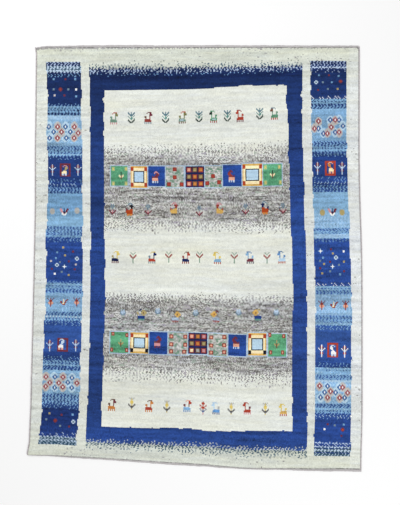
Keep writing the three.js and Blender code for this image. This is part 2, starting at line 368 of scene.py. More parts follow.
# The motifs: chart, whether it is turned to face left, wools, and the column and row of each middle.
MOTIFS = (
    ("plant_far", False, "s=tarn g=teal k=bottle", (
        (130.8, 117.4), (165.9, 117.4), (198.7, 117), (227.1, 115.2), (259.5, 113.5),
    )),
    ("goat", False, "c=red h=moss n=sage t=sage b=sage l=rose", ((114.5, 117.9),)),
    ("goat", False, "c=maroon h=maroon n=madder t=brown b=madder l=slate", ((148, 117.9),)),
    ("goat", False, "c=red h=moss n=moss t=moss b=sage i=mist l=brown", ((182.6, 117.4),)),
    ("goat", True, "c=green h=bottle n=green t=green b=green i=mist l=red", ((213, 117),)),
    ("goat", True, "c=madder h=red n=red t=red b=red l=maroon", ((239.9, 115.6),)),
    ("goat", True, "c=slate h=brown n=sage t=sage b=green i=sage l=red", ((274.7, 113.9),)),
    ("plant_middle", False, "g=sage m=madder", (
        (133.1, 257.5), (168.5, 257.5), (199.8, 257.5), (234.4, 257.5), (266.9, 257.5),
    )),
    ("goat", False, "c=straw h=straw n=straw t=khaki b=navy l=maroon", ((115.2, 257.5),)),
    ("goat", False, "c=straw h=navy n=navy t=slate b=red l=slate", ((152, 257.5),)),
    ("goat", False, "c=brown h=red n=rose t=madder b=navy l=madder", ((186.2, 257.5),)),
    ("goat", True, "c=straw h=straw n=straw t=straw b=light l=red", ((217.3, 257.5),)),
    ("goat", True, "c=mid h=light n=light t=light b=maroon l=navy", ((249.5, 257.5),)),
    ("goat", True, "c=mid h=mid n=mid t=mid b=pale l=red", ((281.8, 257.5),)),
    ("plant_near", False, "g=ash y=straw k=coal", (
        (131.6, 403.5), (167, 406), (231.7, 408.5), (265.9, 408.9),
    )),
    ("plant_red", False, "r=red d=deep p=rose", ((203, 407.8),)),
    ("goat", False, "c=brown h=maroon n=maroon t=brown b=orange l=orange", ((112.5, 405.2),)),
    ("goat", False, "c=brown h=orange n=orange t=orange b=red l=orange", ((149.2, 405.5),)),
    ("goat", False, "c=salmon h=red n=brown t=maroon b=light l=mid", ((187.4, 406.3),)),
    ("goat", True, "c=pale h=pale n=pale t=ash b=mid l=deep", ((215.8, 407.8),)),
    ("goat", True, "c=red h=red n=red t=maroon b=red l=rose", ((247.3, 408.5),)),
    ("goat", True, "c=straw h=straw n=straw t=straw b=gold l=red", ((283.5, 409.5),)),
    ("plant_grey", False, "s=slate m=maroon w=rose", (
        (112, 209), (148.4, 209.5), (199.7, 210.5), (245.8, 208.5), (282.9, 208.3),
    )),
    ("goat_stout", False, "c=slate h=black t=maroon b=rust l=orange", ((129.4, 209.2),)),
    ("goat_stout", False, "c=rose h=madder t=madder b=gold l=coal", ((174, 208.5),)),
    ("goat_stout", True, "c=rose h=madder t=madder b=gold l=lilac", ((219.2, 208.8),)),
    ("goat_stout", True, "c=slate h=navy t=navy b=rust l=orange", ((264.7, 207.5),)),
    ("tulip", False, "s=haze k=slate g=willow", (
        (122.3, 312.8), (157.7, 312.3), (196, 313.7), (238.3, 313.3), (276.8, 313.3),
    )),
    ("goat_round", False, "k=navy h=khaki i=brown t=khaki b=deep l=teal", ((141.3, 314.2),)),
    ("goat_round", False, "k=coal h=gold i=brown t=ash b=haze l=madder", ((176, 316),)),
    ("goat_round", True, "k=maroon h=gold i=rust t=ash b=haze l=madder", ((215.8, 316),)),
    ("goat_round", True, "k=khaki h=gold i=brown t=ash b=deep l=teal", ((257.7, 315),)),
    ("stud", False, "o=lime i=straw", (
        (113.2, 168.5), (125.8, 168.7), (113.7, 183.3), (126.5, 183.9),
        (265.5, 167.6), (279.3, 167.2), (265.9, 182.9), (280.6, 182.2),
    )),
    ("stud", False, "o=madder i=salmon", (
        (112.8, 334), (126.8, 335), (112, 349), (126.3, 350.3),
        (269.6, 335.5), (283.6, 335.5), (270.8, 352.4), (282.6, 352.7),
    )),
    ("sprig", False, "k=bottle y=cream m=brown", ((120.6, 175.8), (272.8, 174.6))),
    ("sprig", False, "k=khaki y=khaki m=brown", ((120.3, 343), (276.9, 344.5))),
    ("button", False, "o=madder i=red", (
        (174.6, 169.7), (175.2, 176.9), (168.9, 184), (181.6, 184), (213.4, 176.2), (207.7, 182.9),
        (218.7, 182.5),
    )),
    ("button", False, "o=madder i=salmon", (
        (171.7, 336), (171.7, 344.4), (171.4, 351.6), (184.9, 336.3), (184.9, 344.6), (184.5, 351.8),
        (211.8, 337.5), (211.6, 345.2), (211.3, 352), (224, 337), (224.3, 345.2), (223.9, 352.2),
    )),
    ("goat_small", False, "c=rose h=maroon t=maroon b=salmon l=mist", ((155.7, 176.9),)),
    ("goat_small", True, "c=maroon h=madder t=maroon b=salmon l=mist", ((231, 176),)),
    ("goat_small", False, "c=maroon h=maroon t=brown b=rose l=maroon", ((157.8, 341.8),)),
    ("goat_small", True, "c=maroon h=maroon t=maroon b=salmon l=haze", ((236, 342.8),)),
    ("diamond", False, "h=pale n=denim w=white", (
        (48.8, 126.3), (65, 126.3), (53, 132.1), (70, 132.1), (49, 137.7), (65.6, 137.7),
        (54.2, 376.8), (71.8, 377.2), (67.3, 382.4), (54.2, 387.3), (71.8, 387.8),
        (331, 120.1), (339.8, 119.5), (318.9, 128), (343.8, 125.3), (323.5, 132.9), (335.9, 132.2),
        (328.3, 386.4), (339.5, 387), (324.4, 392), (335.9, 392), (320.4, 397.1), (344.6, 397.7),
    )),
    ("diamond", False, "h=dove n=cerise w=white", (
        (57, 126.3), (73.8, 126.3), (61.5, 132.1), (78.3, 132.3), (57.3, 137.7), (74.2, 137.7),
        (45.7, 376.8), (62.6, 376.9), (49.7, 382.2), (58.5, 382.4), (76.3, 382.6), (45.4, 387),
        (62.6, 387.3),
        (318.9, 121.3), (335.3, 119.8), (314.8, 128), (332, 126.8), (327.7, 132.9), (339.8, 132.2),
        (319.6, 386.2), (343.3, 387), (331.3, 391.5), (347.8, 392.3), (327.8, 397.4), (340, 397.7),
    )),
    ("lily", False, "p=mauve m=maroon w=mist d=maroon", (
        (52.4, 170), (77.4, 170), (49.2, 345.2), (75.4, 345.2), (318, 168), (342, 168),
    )),
    ("lily", False, "p=white m=madder w=white d=red", ((321.6, 350.5), (345.4, 350.5))),
    ("pen", False, "r=maroon", ((64.7, 170.5), (62.2, 344.4))),
    ("kid", False, "c=rose h=khaki b=cream l=mist", ((64.5, 170.6),)),
    ("kid", False, "c=mist h=mist b=white l=salmon", ((61.8, 344.4),)),
    ("pen", False, "r=red", ((330.8, 167.4), (333.4, 350))),
    ("kid", True, "c=salmon h=orange b=cream l=salmon", ((330.8, 167.4),)),
    ("kid", True, "c=mist h=white b=white l=mist", ((333.4, 350),)),
    ("blob", False, "s=ash", ((52, 211), (77, 211))),
    ("blob", False, "s=khaki", ((322.7, 212.5), (342, 212.5))),
    ("wings", False, "d=rose w=navy m=maroon g=white", ((63.5, 211.3), (332.6, 211.8))),
    ("bush", False, "t=maroon m=madder o=salmon", (
        (50.4, 302), (76.5, 302.3), (321.7, 305.3), (346.2, 305.3),
    )),
    ("crook", False, "w=cream m=madder", ((64.2, 302), (334.6, 305))),
    ("mote", False, "o=powder", (
        (53.7, 78.6), (75.4, 79), (76.3, 96), (319.5, 75), (332.3, 82), (339.5, 75.9),
        (56.6, 252), (55.5, 258), (72.5, 414.7), (323.7, 257.1), (340.5, 274.5), (344, 424.3),
    )),
    ("mote", False, "o=maroon", (
        (65.3, 78.6), (64.2, 95.4), (329.5, 75), (318.7, 89.6), (73, 251.7), (68.7, 261.5),
        (51.3, 268.4), (74.5, 269.3), (61, 414.5), (69, 426.8), (330.8, 249.5), (330.8, 261.2),
        (320.9, 268.6), (344.1, 270.7), (327.8, 423.8), (341.5, 435.5),
    )),
    ("mote", False, "o=slate", (
        (53.3, 89.3), (68.4, 89), (323, 82), (328.2, 88.9), (59.3, 261.7), (61, 272), (46.3, 419),
        (59.5, 425.7), (339.5, 264.8), (330.8, 271.4), (335.2, 425), (320.4, 260.7),
    )),
    ("mote", False, "o=khaki", (
        (338, 88.9), (63.3, 247.7), (64.6, 255.3), (68.9, 274.7), (49.5, 413), (332.9, 253.6),
        (344.3, 261.2), (324.2, 264.3), (322.1, 273.5),
    )),
    ("mote", False, "o=mauve", ((54.6, 95.4), (50.4, 261), (75.4, 264.2))),
    ("mote", False, "o=white", ((75.8, 89), (54.2, 273.8), (344.3, 251), (325, 429.5))),
    ("blossom", False, "o=maroon i=madder", ((60, 89.3), (341, 81.4), (55, 420))),
    ("blossom", False, "o=maroon i=red", ((342.6, 429.9),)),
    ("blossom", False, "o=mist i=slate", (
        (316.2, 82), (76.3, 258.4), (56.4, 264.6), (73.6, 421.4), (336.7, 257.7),
    )),
    ("star", False, "o=white i=light", ((64.6, 266.7), (321.1, 251), (333.1, 266.6))),
)

# The squares of the two grey bands: kind, first column and row, width and height in knots, and
# the wools of a plain ground, of a window's corners or of the nine cells.
SQUARES = (
    ("plain", 111, 165.9, 17, 20, "green"),
    ("window", 130, 165.9, 17, 22, "rust rust rust rust"),
    ("plain", 147.8, 166.4, 17, 20, "royal"),
    ("mixed", 165.8, 166, 18, 21, ""),
    ("cells", 185, 166.2, 19, 21, "salmon khaki orange khaki orange khaki salmon orange orange"),
    ("mixed", 205, 165.6, 17, 21, ""),
    ("plain", 222.8, 165, 19, 21, "royal"),
    ("window", 242.5, 163.9, 20, 22, "rust rust rust rust"),
    ("plain", 263.5, 163.9, 19, 21, "green"),
    ("plain", 110.6, 331.2, 18, 21, "green"),
    ("window", 130.3, 332, 18, 21, "rust rust black black"),
    ("plain", 149.3, 331.8, 18, 22, "royal"),
    ("mixed", 168.6, 332, 19, 22, ""),
    ("cells", 188.7, 333, 19, 21, "salmon orange rose khaki orange khaki cream ash rose"),
    ("mixed", 208.4, 333, 19, 22, ""),
    ("plain", 228.4, 333.8, 18, 21, "royal"),
    ("window", 248.3, 333, 18, 22, "rust rust black black"),
    ("plain", 268, 333.8, 18, 22, "green"),
)

# The ground of each kind of square that isn't plain.
GROUNDS = {"window": "gold", "cells": "navy", "mixed": "mixed"}

# The frames of a window, one in the other: how far in from its sides and from its ends each lies,
# and its wool. Then the size of its corner patches. All are in knots.
WINDOW_FRAMES = ((1, 2, "cream"), (3, 5, "black"), (4, 6, "pale"))
CORNER_SIZE = (3, 4)

# The nine cells: how far apart they lie, their size, and the size of the spot in each, in knots.
CELL_PITCH = (6, 7)
CELL_SIZE = (5, 5)
SPOT_SIZE = (3, 3)

# How dark the indigo is by row, left and right of one column: the yarn was dyed in several lots.
LOT_COLUMN = 280
INDIGO_TONE = (
    (84, 0.4, 0.5), (108, 0.52, 0.66), (135, 0.66, 0.68), (165, 0.7, 0.75), (185, 0.75, 0.95),
    (204, 0.56, 1.05), (225, 0.8, 1.1), (247, 1.05, 1.3), (262, 0.95, 1.1), (276, 1.0, 1.15),
    (324, 0.92, 1.05), (348, 0.75, 0.9), (400, 0.78, 0.92), (425, 0.7, 1.08), (430, 0.75, 0.95),
    (434, 1.0, 0.95), (440, 1.05, 1.0),
)

# How strongly the yarn of some wools varies in depth of dye, and that of all others.
PLAIN_STREAKS = 0.08
STREAKS = {
    "ivory": 0.06, "deep": 0.18, "ink": 0.2, "bright": 0.16, "navy": 0.3,
    "royal": 0.18, "light": 0.16, "powder": 0.17, "mid": 0.18, "green": 0.2, "gold": 0.12,
    "haze": 0.14, "sky": 0.14,
}

# How much lighter or darker than even the flecks of the grey bands are, by row.
GREY_TONE = (
    (143, 0.4), (158, 0.15), (166, 0), (190, -0.05), (195, 0), (200, -0.35), (204, 0.15), (209, -0.3),
    (214, 0.05), (221, 0.3), (232, 0.3), (293, 0.3), (302, 0), (308, -0.1), (314, 0.1), (320, 0.05),
    (358, 0.1), (370, 0.3), (384, 0.4),
)

# How light the undyed wool outside the frame is by row, and how much of its blue it keeps.
BORDER_TONE = (
    (45, 0.97, 0.93), (62, 0.97, 0.95), (80, 0.98, 1.0), (110, 1.03, 1.03), (205, 0.98, 1.05),
    (280, 1.03, 1.06), (385, 0.98, 1.05), (435, 0.98, 1.0), (450, 0.99, 0.96), (470, 0.97, 0.95),
)

# Right of this column the border is lighter by one share and keeps more of its blue by another.
RIGHT_EDGE_COLUMN = 350
RIGHT_EDGE_LIGHTER = 0.07
RIGHT_EDGE_BLUER = 0.04

# What warm wool gives to red, green and blue, the power of linear light on which two plied wools
# mix as the eye sees them, and the lightest that any wool gets.
WARMTH = np.array((0.008, 0.0, -0.03))
EYE = 0.45
LIGHTEST = 0.95

# Seeds of the random draws.
CARTOON_SEED = 22
PILE_SEED = 7
ENDS_SEED = 31
SELVEDGE_SEED = 43
FOUNDATION_SEED = 57

# The pile's walls, in millimetres: how far its two outer lines lie in from the body's edge at the
# sides and at the ends, and their heights. Then the inset of the top's first column line.
WALL_SIDE = np.array((1.2, 0.0))
WALL_END = np.array((1.0, -1.5))
WALL_HEIGHT = np.array((3.2, 8.0))
WALL_LINES = len(WALL_HEIGHT)
TOP_SIDE = 1.4

# Unevenness of the pile in millimetres: of the gaps' height from knot to knot and over a wide
# reach, of their place, and of the tips' height. Then the height of the walls' tips above their
# cells, how far all tips lean towards the near end, and the most that noise of heights may be.
GAP_UNEVEN = 0.2
GAP_WAVES = 0.25
PLACE_UNEVEN = 0.3
TIP_UNEVEN = 0.35
WALL_TUFT = 0.7
LEAN = 0.4
NOISE_CAP = 2

# Height in millimetres at which the two sides of a thin sheet meet.
RIM_HEIGHT = 1.5

# The corners of a grid cell in order, as offsets right and down, and the margin of a bake map.
AROUND = ((0, 0), (0, 1), (1, 1), (1, 0))
MAP_MARGIN = 0.002

# The flat-woven ends: points across each rib, wefts, and how far they reach past the body's edge
# on the average and stay back from its sides, in millimetres. Then the rows of dark stitches next
# to the pile, which are partly painted shadow under the pile's edge, and how light their grey is at
# the far and at the near end, where the painted shadow is darker.
RIB_POINTS = 4
WEFTS = 8
END_REACH = 0.6
END_SIDE = 0.4
STITCH_AND_SHADOW_ROWS = 3
FAR_STITCH_AND_SHADOW_TONE = 0.7
NEAR_STITCH_AND_SHADOW_TONE = 0.45

# Noise above which a dark stitch (partly painted shadow) shows, how much the weave's grey varies
# along a weft and from rib to rib, and how ragged its outer edge is: strengths in millimetres, each
# with its reach in points.
STITCH_AND_SHADOW_LIMIT = -0.3
WEFT_STREAKS = 0.07
RIB_FLECKS = 0.06
END_RAGGED = ((0.5, 9), (0.25, 2))

# Relief of the flat weave in millimetres: how far its middle lies under the foundation's height,
# the wave of its upper side and its unevenness, then the height of its lower side and the wave of
# that.
WEAVE_DIP = 0.4
WEAVE_WAVE = 0.3
WEAVE_UNEVEN = 0.06
UNDER_HEIGHT = 0.25
UNDER_WAVE = 0.2

# The selvedges: points round the cord, rings for each turn of yarn, length of the drawn-in tip in
# millimetres, and how deep the grooves between turns are as a share of the radius. Then how far
# the turns slant and how uneven they are, by their own width, how much the cord swells and within
# which limits, how much painted shade darkens the grooves, and how much the turns differ in tone.
CORD_POINTS = 12
TURN_RINGS = 4
TIP_LENGTH = 4
GROOVE = 0.1
SLANT = 0.35
TURN_UNEVEN = 0.03
SWELLING = 0.05
SWELLING_LIMITS = (0.9, 1.08)
GROOVE_PAINTED_SHADE = 0.18
TURN_TONE = 0.09

# The lowest that any point of a selvedge comes, in millimetres above the floor.
SELVEDGE_FLOOR = 0.02

# The foundation: knots to a cell, inset of its flat part and height of its back in millimetres,
# and how dark the back is.
CELL_KNOTS = 2
FOUNDATION_INSET = 0.8
BACK_HEIGHT = 0.12
BACK_TONE = 0.92

# The softboxes: name, place in metres, and power in watts. Then their width in metres.
SOFTBOXES = (("softbox_far", (-1.6, 2.6, 3.4), 95), ("softbox_near", (1.8, -2.6, 3.4), 75))
SOFTBOX_WIDTH = 3.0
WORLD_STRENGTH = 0.55

# Half the width of the studio floor, in metres.
FLOOR_REACH = 3

# The camera looks straight down at this place from this height over the pile, and takes in this
# length of floor from top to bottom, all in metres.
CAMERA_PLACE = (0.0246, 0.0271)
CAMERA_HEIGHT = 3.6
PICTURE_LENGTH = 2.29775


def linear(hexcode):
    """A colour written as six hexadecimal digits of sRGB, as linear red, green and blue."""
    parts = [int(hexcode[i : i + 2], 16) / 255 for i in (0, 2, 4)]
    return tuple(p / 12.92 if p <= 0.04045 else ((p + 0.055) / 1.055) ** 2.4 for p in parts)


def dyed(name, description, hexcode):
    """A colour setting whose default is the wool's own colour."""
    return bpy.props.FloatVectorProperty(
        name=name, description=description, subtype="COLOR", size=3, min=0, max=1,
        default=linear(hexcode),
    )


class GabbehWools(bpy.types.PropertyGroup):
    """The wools of the rug, by the names that the charts use."""

    ivory: dyed("Ivory", "Undyed white wool of the field", "E0E3DB")
    border: dyed("Border ivory", "Undyed wool outside the frame", "D8DCD4")
    deep: dyed("Deep blue", "Indigo of the frame and the dark bands", "26458A")
    bright: dyed("Bright blue", "Clearer indigo of two bands", "305298")
    navy: dyed("Navy", "Darkest indigo", "131F4C")
    mid: dyed("Middle blue", "Indigo between deep and light", "5A88BA")
    denim: dyed("Denim", "Greyed middle blue", "45699C")
    light: dyed("Light blue", "Light indigo of the pale bands", "7FA8CB")
    powder: dyed("Powder blue", "Light blue of the second pale band", "729CC2")
    sky: dyed("Sky blue", "Paler lot of the light bands", "98BAD9")
    pale: dyed("Pale blue", "Palest indigo, used for lines", "B4D0E4")
    mist: dyed("Mist", "Pale lavender round small motifs", "C2D3E6")
    white: dyed("White", "Bleached wool of dots and lines", "F4F5F4")
    madder: dyed("Madder", "Dull red", "8C3A33")
    red: dyed("Red", "Clear orange red", "A8402F")
    maroon: dyed("Maroon", "Dark purplish red", "6E2F3C")
    cerise: dyed("Faded red", "Soft red of the diamonds", "955058")
    rose: dyed("Rose", "Greyed pink", "C98F95")
    salmon: dyed("Salmon", "Light orange pink", "E3A68E")
    orange: dyed("Orange", "Burnt orange", "C7803F")
    rust: dyed("Rust", "Strong brown orange", "A8431C")
    gold: dyed("Gold", "Golden yellow", "D3AB5E")
    straw: dyed("Straw", "Greenish yellow", "D9C26A")
    cream: dyed("Cream", "Pale yellow", "F6E3B8")
    sage: dyed("Sage", "Greyed green", "6E8F7C")
    moss: dyed("Moss", "Brownish green", "77784C")
    green: dyed("Green", "Clear green", "589A74")
    teal: dyed("Teal", "Blue green", "5E8F86")
    pine: dyed("Pine", "Dark blue green", "2C4A5E")
    bottle: dyed("Bottle green", "Nearly black green", "22382F")
    black: dyed("Black", "Black brown", "15151F")
    slate: dyed("Slate", "Blue grey", "6F8494")
    brown: dyed("Brown", "Dark natural brown", "6B4A3A")
    khaki: dyed("Khaki", "Yellowish grey brown", "A99A6A")
    coal: dyed("Dark grey", "Dark natural grey of the grey bands", "5C5A59")
    smoke: dyed("Smoke grey", "Middle dark grey of the grey bands", "84827F")
    ash: dyed("Ash grey", "Middle grey of the grey bands", "A9A9A7")
    silver: dyed("Silver grey", "Light grey of the grey bands", "CBCCC9")
    lilac: dyed("Lilac grey", "Purplish grey of the grey bands", "A49FA8")
    willow: dyed("Willow grey", "Greenish grey of the grey bands", "9FAAA0")
    mauve: dyed("Mauve grey", "Wool wrapped round the sides", "BDB6B8")
    kilim: dyed("Kilim grey", "Wool of the flat-woven ends", "BCB8B9")
    ink: dyed("Ink blue", "Darkest lot of the frame's indigo", "1F3A7C")
    royal: dyed("Royal blue", "Indigo of the blue squares", "24468F")
    haze: dyed("Haze", "Greyish blue outline of the squares", "A9BDD0")
    lime: dyed("Lime", "Yellow green spots of the green squares", "A6B47C")
    tarn: dyed("Tarn", "Dark blue green of the first plants", "587883")
    dove: dyed("Dove", "Beige grey round the red diamonds", "B9B7B6")
    mixed: dyed("Mixed", "Stands for the mixed greens and greys of some squares", "A0A89C")


def measured(name, description, millimetres):
    """A length setting, kept in metres as Blender keeps them all."""
    return bpy.props.FloatProperty(
        name=name, description=description, subtype="DISTANCE", unit="LENGTH", precision=4, min=0,
        default=millimetres * MM,
    )


class GabbehSizes(bpy.types.PropertyGroup):
    """The rug's knots and lengths."""

    columns: bpy.props.IntProperty(
        name="Columns", description="Knots from side to side", default=328, min=8, max=400,
    )
    rows: bpy.props.IntProperty(
        name="Rows", description="Knots from end to end", default=414, min=12, max=480,
    )
    strips: bpy.props.IntProperty(
        name="Strips", description="Number of pieces that the pile is made in", default=6, min=1,
    )
    pile_top: measured("Pile top", "Height of the knot tips above the floor", 12)
    tuft: measured("Tuft", "Height of a tip above the gaps between knots", 1.5)
    weave: measured("Weave", "Thickness of the foundation", 3)
    selvedge: measured("Selvedge", "Width and height of a wrapped side", 6.5)
    gap: measured("Gap", "Air between a selvedge and the pile", 0.3)
    wrap: measured("Wrap", "Pitch of the yarn wrapped round a selvedge", 4.5)


def in_mm(key):
    """One of the rug's lengths in millimetres."""
    return getattr(bpy.context.scene.gabbeh_sizes, key) / MM


def eased(table, share):
    """Values of a table of pairs at the given shares, eased so that no kink shows."""
    knots, values = np.array(table, float).T
    place = np.clip(np.searchsorted(knots, share), 1, len(knots) - 1)
    step = np.clip((share - knots[place - 1]) / (knots[place] - knots[place - 1]), 0, 1)
    return values[place - 1] + (values[place] - values[place - 1]) * step * step * (3 - 2 * step)


def straight(table, place, key=1):
    """Values of one column of a table at the given places, straight between its lines."""
    lines = np.array(table, float)
    return np.interp(place, lines[:, 0], lines[:, key])


def edge(start, end, bow, outward, share):
    """Points of one edge: the line from corner to corner, moved outwards by the bow."""
    line = start + (end - start) * share[..., None]
    return line + np.array(outward) * eased(bow, share)[..., None]


def plan(across, up):
    """Points of the rug seen from above, in millimetres, from two shares.

    The surface blends the four bowed edges: near edge x (1 - up) + far edge x up + left edge x
    (1 - across) + right edge x across, less the blend of the four corners.
    """
    near = edge(NEAR_LEFT, NEAR_RIGHT, NEAR_BOW, (0, -1), across)
    far = edge(FAR_LEFT, FAR_RIGHT, FAR_BOW, (0, 1), across)
    left = edge(FAR_LEFT, NEAR_LEFT, LEFT_BOW, (-1, 0), 1 - up)
    right = edge(FAR_RIGHT, NEAR_RIGHT, RIGHT_BOW, (1, 0), 1 - up)
    a = across[..., None]
    u = up[..., None]
    corners = (NEAR_LEFT * (1 - a) + NEAR_RIGHT * a) * (1 - u)
    corners += (FAR_LEFT * (1 - a) + FAR_RIGHT * a) * u
    return near * (1 - u) + far * u + left * (1 - a) + right * a - corners - BOX_MIDDLE


def inset_plan(across, up, side, near, far):
    """Points of plan with the edges moved in by a distance at the sides and one at each end.

    Each share is squeezed towards the middle by the distance over the rug's width or length there.
    """
    left = plan(np.zeros_like(across), up)
    right = plan(np.ones_like(across), up)
    bottom = plan(across, np.zeros_like(up))
    top = plan(across, np.ones_like(up))
    width = np.linalg.norm(right - left, axis=-1)
    length = np.linalg.norm(top - bottom, axis=-1)
    u = side / width + (1 - 2 * side / width) * across
    v = near / length + (1 - (far + near) / length) * up
    return plan(u, v)


def drift(across, down):
    """How many knots nearer each place's row lies, from the table, smoothed across."""
    table = np.array(ROW_DRIFT)
    rows = []
    for line in table[:, 1:]:
        stations = [np.interp(across + shift, DRIFT_STATIONS, line) for shift in DRIFT_SPREAD]
        rows.append(np.mean(stations, axis=0))
    rows = np.stack(rows)
    place = np.clip(np.searchsorted(table[:, 0], down), 1, len(table) - 1)
    step = (down - table[place - 1, 0]) / (table[place, 0] - table[place - 1, 0])
    return rows[place - 1] * (1 - step)[:, None] + rows[place] * step[:, None]


def smooth_noise(rng, shape, reach_rows, reach_columns):
    """Noise of mean 0 and deviation 1, blurred by a bell of one reach in rows and one in columns."""
    rows = np.fft.fftfreq(shape[0])[:, None] * reach_rows
    columns = np.fft.rfftfreq(shape[1])[None, :] * reach_columns
    blur = np.exp(-2 * np.pi**2 * (rows**2 + columns**2))
    noise = np.fft.irfft2(np.fft.rfft2(rng.standard_normal(shape)) * blur, shape)
    return (noise - noise.mean()) / noise.std()


def capped_noise(rng, shape):
    """Noise of mean 0 and deviation 1 for each place by itself, cut off at both ends."""
    return np.clip(rng.standard_normal(shape), -NOISE_CAP, NOISE_CAP)


def ranks(values):
    """The place of each value among all of them, from 0 for the lowest to 1."""
    return np.argsort(np.argsort(values.ravel())).reshape(values.shape) / values.size


def lines_plan(columns, rows, sides, ends):
    """Points where column lines cross row lines.

    columns and rows are line numbers that run a little past the knotted area, where the lines
    stay on its edge. sides and ends are the extra insets of those lines in millimetres.
    """
    sizes = bpy.context.scene.gabbeh_sizes
    across = np.clip(columns / sizes.columns, 0, 1)
    down = np.clip(rows / sizes.rows, 0, 1)
    shift = drift(across, down) / sizes.rows
    across, _ = np.meshgrid(across, down)
    up = 1 - (down[:, None] + shift)
    side = in_mm("selvedge") + in_mm("gap") + sides[None, :]
    near = eased(NEAR_DEPTH, across) + ends[:, None]
    far = eased(FAR_DEPTH, across) + ends[:, None]
    return inset_plan(across, up, side, near, far)


class Cartoon:
    """The weaver's cartoon: the wool of each knot, painted from the tables and charts above.

    columns and rows are the chart column and row of each knot's middle. A wool is kept as its
    number in the palette.
    """

    def __init__(self, columns, rows, rng):
        """Starts with ivory all over, and draws the orders in which dots are scattered."""
        self.columns = columns
        self.rows = rows
        self.rng = rng
        names = list(GabbehWools.__annotations__)
        self.number = {name: place for place, name in enumerate(names)}
        wools = bpy.context.scene.gabbeh_wools
        self.palette = np.array([tuple(getattr(wools, name)) for name in names])
        self.wool = np.full(columns.shape, self.number["ivory"])
        self.second = self.wool.copy()
        self.blend = np.zeros(columns.shape)
        j, i = np.indices(columns.shape)
        place = i - ZIGZAG[j % len(ZIGZAG)] + DOT_WANDER * smooth_noise(rng, j.shape, 1, 6)
        self.chevrons = (place / DOT_PITCH) % 1 + rng.normal(0, DOT_JITTER, j.shape)
        self.slants = ((i - j) / DOT_PITCH) % 1 + rng.normal(0, SLANT_JITTER, j.shape)
        self.specks = ranks(self.chevrons % 1 + SPECK_CHANCE * rng.random(j.shape))
        self.grains = ranks(self.chevrons % 1 + GRAIN_CHANCE * rng.random(j.shape))

    def noise(self, own, *layers):
        """Noise for each knot by itself, and layers of noise that reach over more of them."""
        tone = own * self.rng.standard_normal(self.wool.shape)
        for strength, rows, columns in layers:
            tone += strength * smooth_noise(self.rng, self.wool.shape, rows, columns)
        return tone

    def waver(self):
        """How far an upright edge strays sideways at each knot, in knots."""
        return UPRIGHT_WAVER * smooth_noise(self.rng, self.wool.shape, 3, 40)

    def between(self, left, right):
        """The knots between two upright edges, each with a waver of its own."""
        inside = self.columns > straight(left, self.rows) + self.waver()
        return inside & (self.columns < straight(right, self.rows) + self.waver())

    def row_at(self, column):
        """The chart row of each knot row where it passes a chart column."""
        nearest = np.abs(self.columns - column).argmin(axis=1)
        return self.rows[np.arange(len(self.rows)), nearest]

    def fill(self, where, name):
        """Knots the places of a mask in one wool."""
        self.wool[where] = self.number[name]
        self.blend[where] = 0

    def grade(self, where, tone, wools):
        """Knots a mask in several wools, each below its own limit of tone."""
        for name, limit in wools:
            self.fill(where & (tone < limit), name)

    def dot(self, where, name, share, order):
        """Scatters dots of a wool over a mask, the lowest of an order first, up to a share.

        Ground and dots are tied with a strand of the other wool plied in, which brings them
        nearer to each other without a change of the whole. The share is meant as the eye sees it,
        so the darker wool gets more knots than its share.
        """
        brightness = self.palette.sum(axis=1)
        darker = brightness[self.number[name]] < brightness[self.wool]
        share = share + np.where(darker, OUTSHONE, -OUTSHONE) * share * (1 - share)
        dots = where & (order < share)
        ground = where & ~dots
        self.second[dots] = self.wool[dots]
        self.blend[dots] = PLIED * (1 - share[dots])
        self.second[ground] = self.number[name]
        self.blend[ground] = PLIED * share[ground]
        self.wool[dots] = self.number[name]

    def paint_borders(self):
        """The ivory border with its two banded columns."""
        outer = self.columns < straight(FRAME_OUTER_LEFT, self.rows)
        outer |= self.columns > straight(FRAME_OUTER_RIGHT, self.rows)
        row = self.row_at(MIDDLE_COLUMN)[:, None]
        outer |= (row < FRAME_ROWS[0]) | (row > FRAME_ROWS[1])
        self.fill(outer, "border")
        stray = smooth_noise(self.rng, self.wool.shape, 0.3, 0.7)
        stray += STRAY_PATCHES * smooth_noise(self.rng, self.wool.shape, 4, 12)
        stray += straight(STRAY_BY_ROW, row)
        for name, limit in STRAY_WOOLS:
            self.fill(outer & (stray > limit), name)
        first = np.indices(self.wool.shape)[0] == 0
        self.fill(first & (self.specks < straight(WORN_SHARE, self.columns)), "ash")
        for edges, bands, middle in BORDER_COLUMNS:
            waver = self.waver()
            inside = self.columns > straight(edges, self.rows, 1) + waver
            inside &= self.columns < straight(edges, self.rows, 2) + waver
            row = self.row_at(middle)[:, None]
            order = self.chevrons
            for start, stop in SLANTED_ROWS:
                slanted = (row >= start) & (row < stop) & (self.columns > SLANTED_FROM_COLUMN)
                order = np.where(slanted, self.slants, order)
            for (start, wool, dots, share), (stop, *_) in zip(bands, bands[1:]):
                band = inside & (row >= start) & (row < stop)
                self.fill(band, wool)
                if dots:
                    self.dot(band, dots, share, order)

    def paint_frame(self):
        """The blue frame, dissolving into dots at both ends."""
        row = self.row_at(MIDDLE_COLUMN)[:, None]
        inside = self.between(FRAME_OUTER_LEFT, FRAME_OUTER_RIGHT)
        field = self.between(FRAME_INNER_LEFT, FRAME_INNER_RIGHT)
        waver = LEVEL_WAVER * smooth_noise(self.rng, self.wool.shape, 40, 1.5)
        field &= self.rows > straight(FIELD_TOP, self.columns) + waver
        field &= self.rows < straight(FIELD_BOTTOM, self.columns) + waver
        around = inside & ~field
        for (start, ground, dots, share, until), (stop, *_) in zip(FRAME_STAGES, FRAME_STAGES[1:]):
            band = around & (row >= start) & (row < stop)
            if ground:
                self.fill(band, ground)
            if dots:
                grown = share + (until - share) * (row - start) / (stop - start)
                self.dot(band, dots, grown, self.grains)
        return field

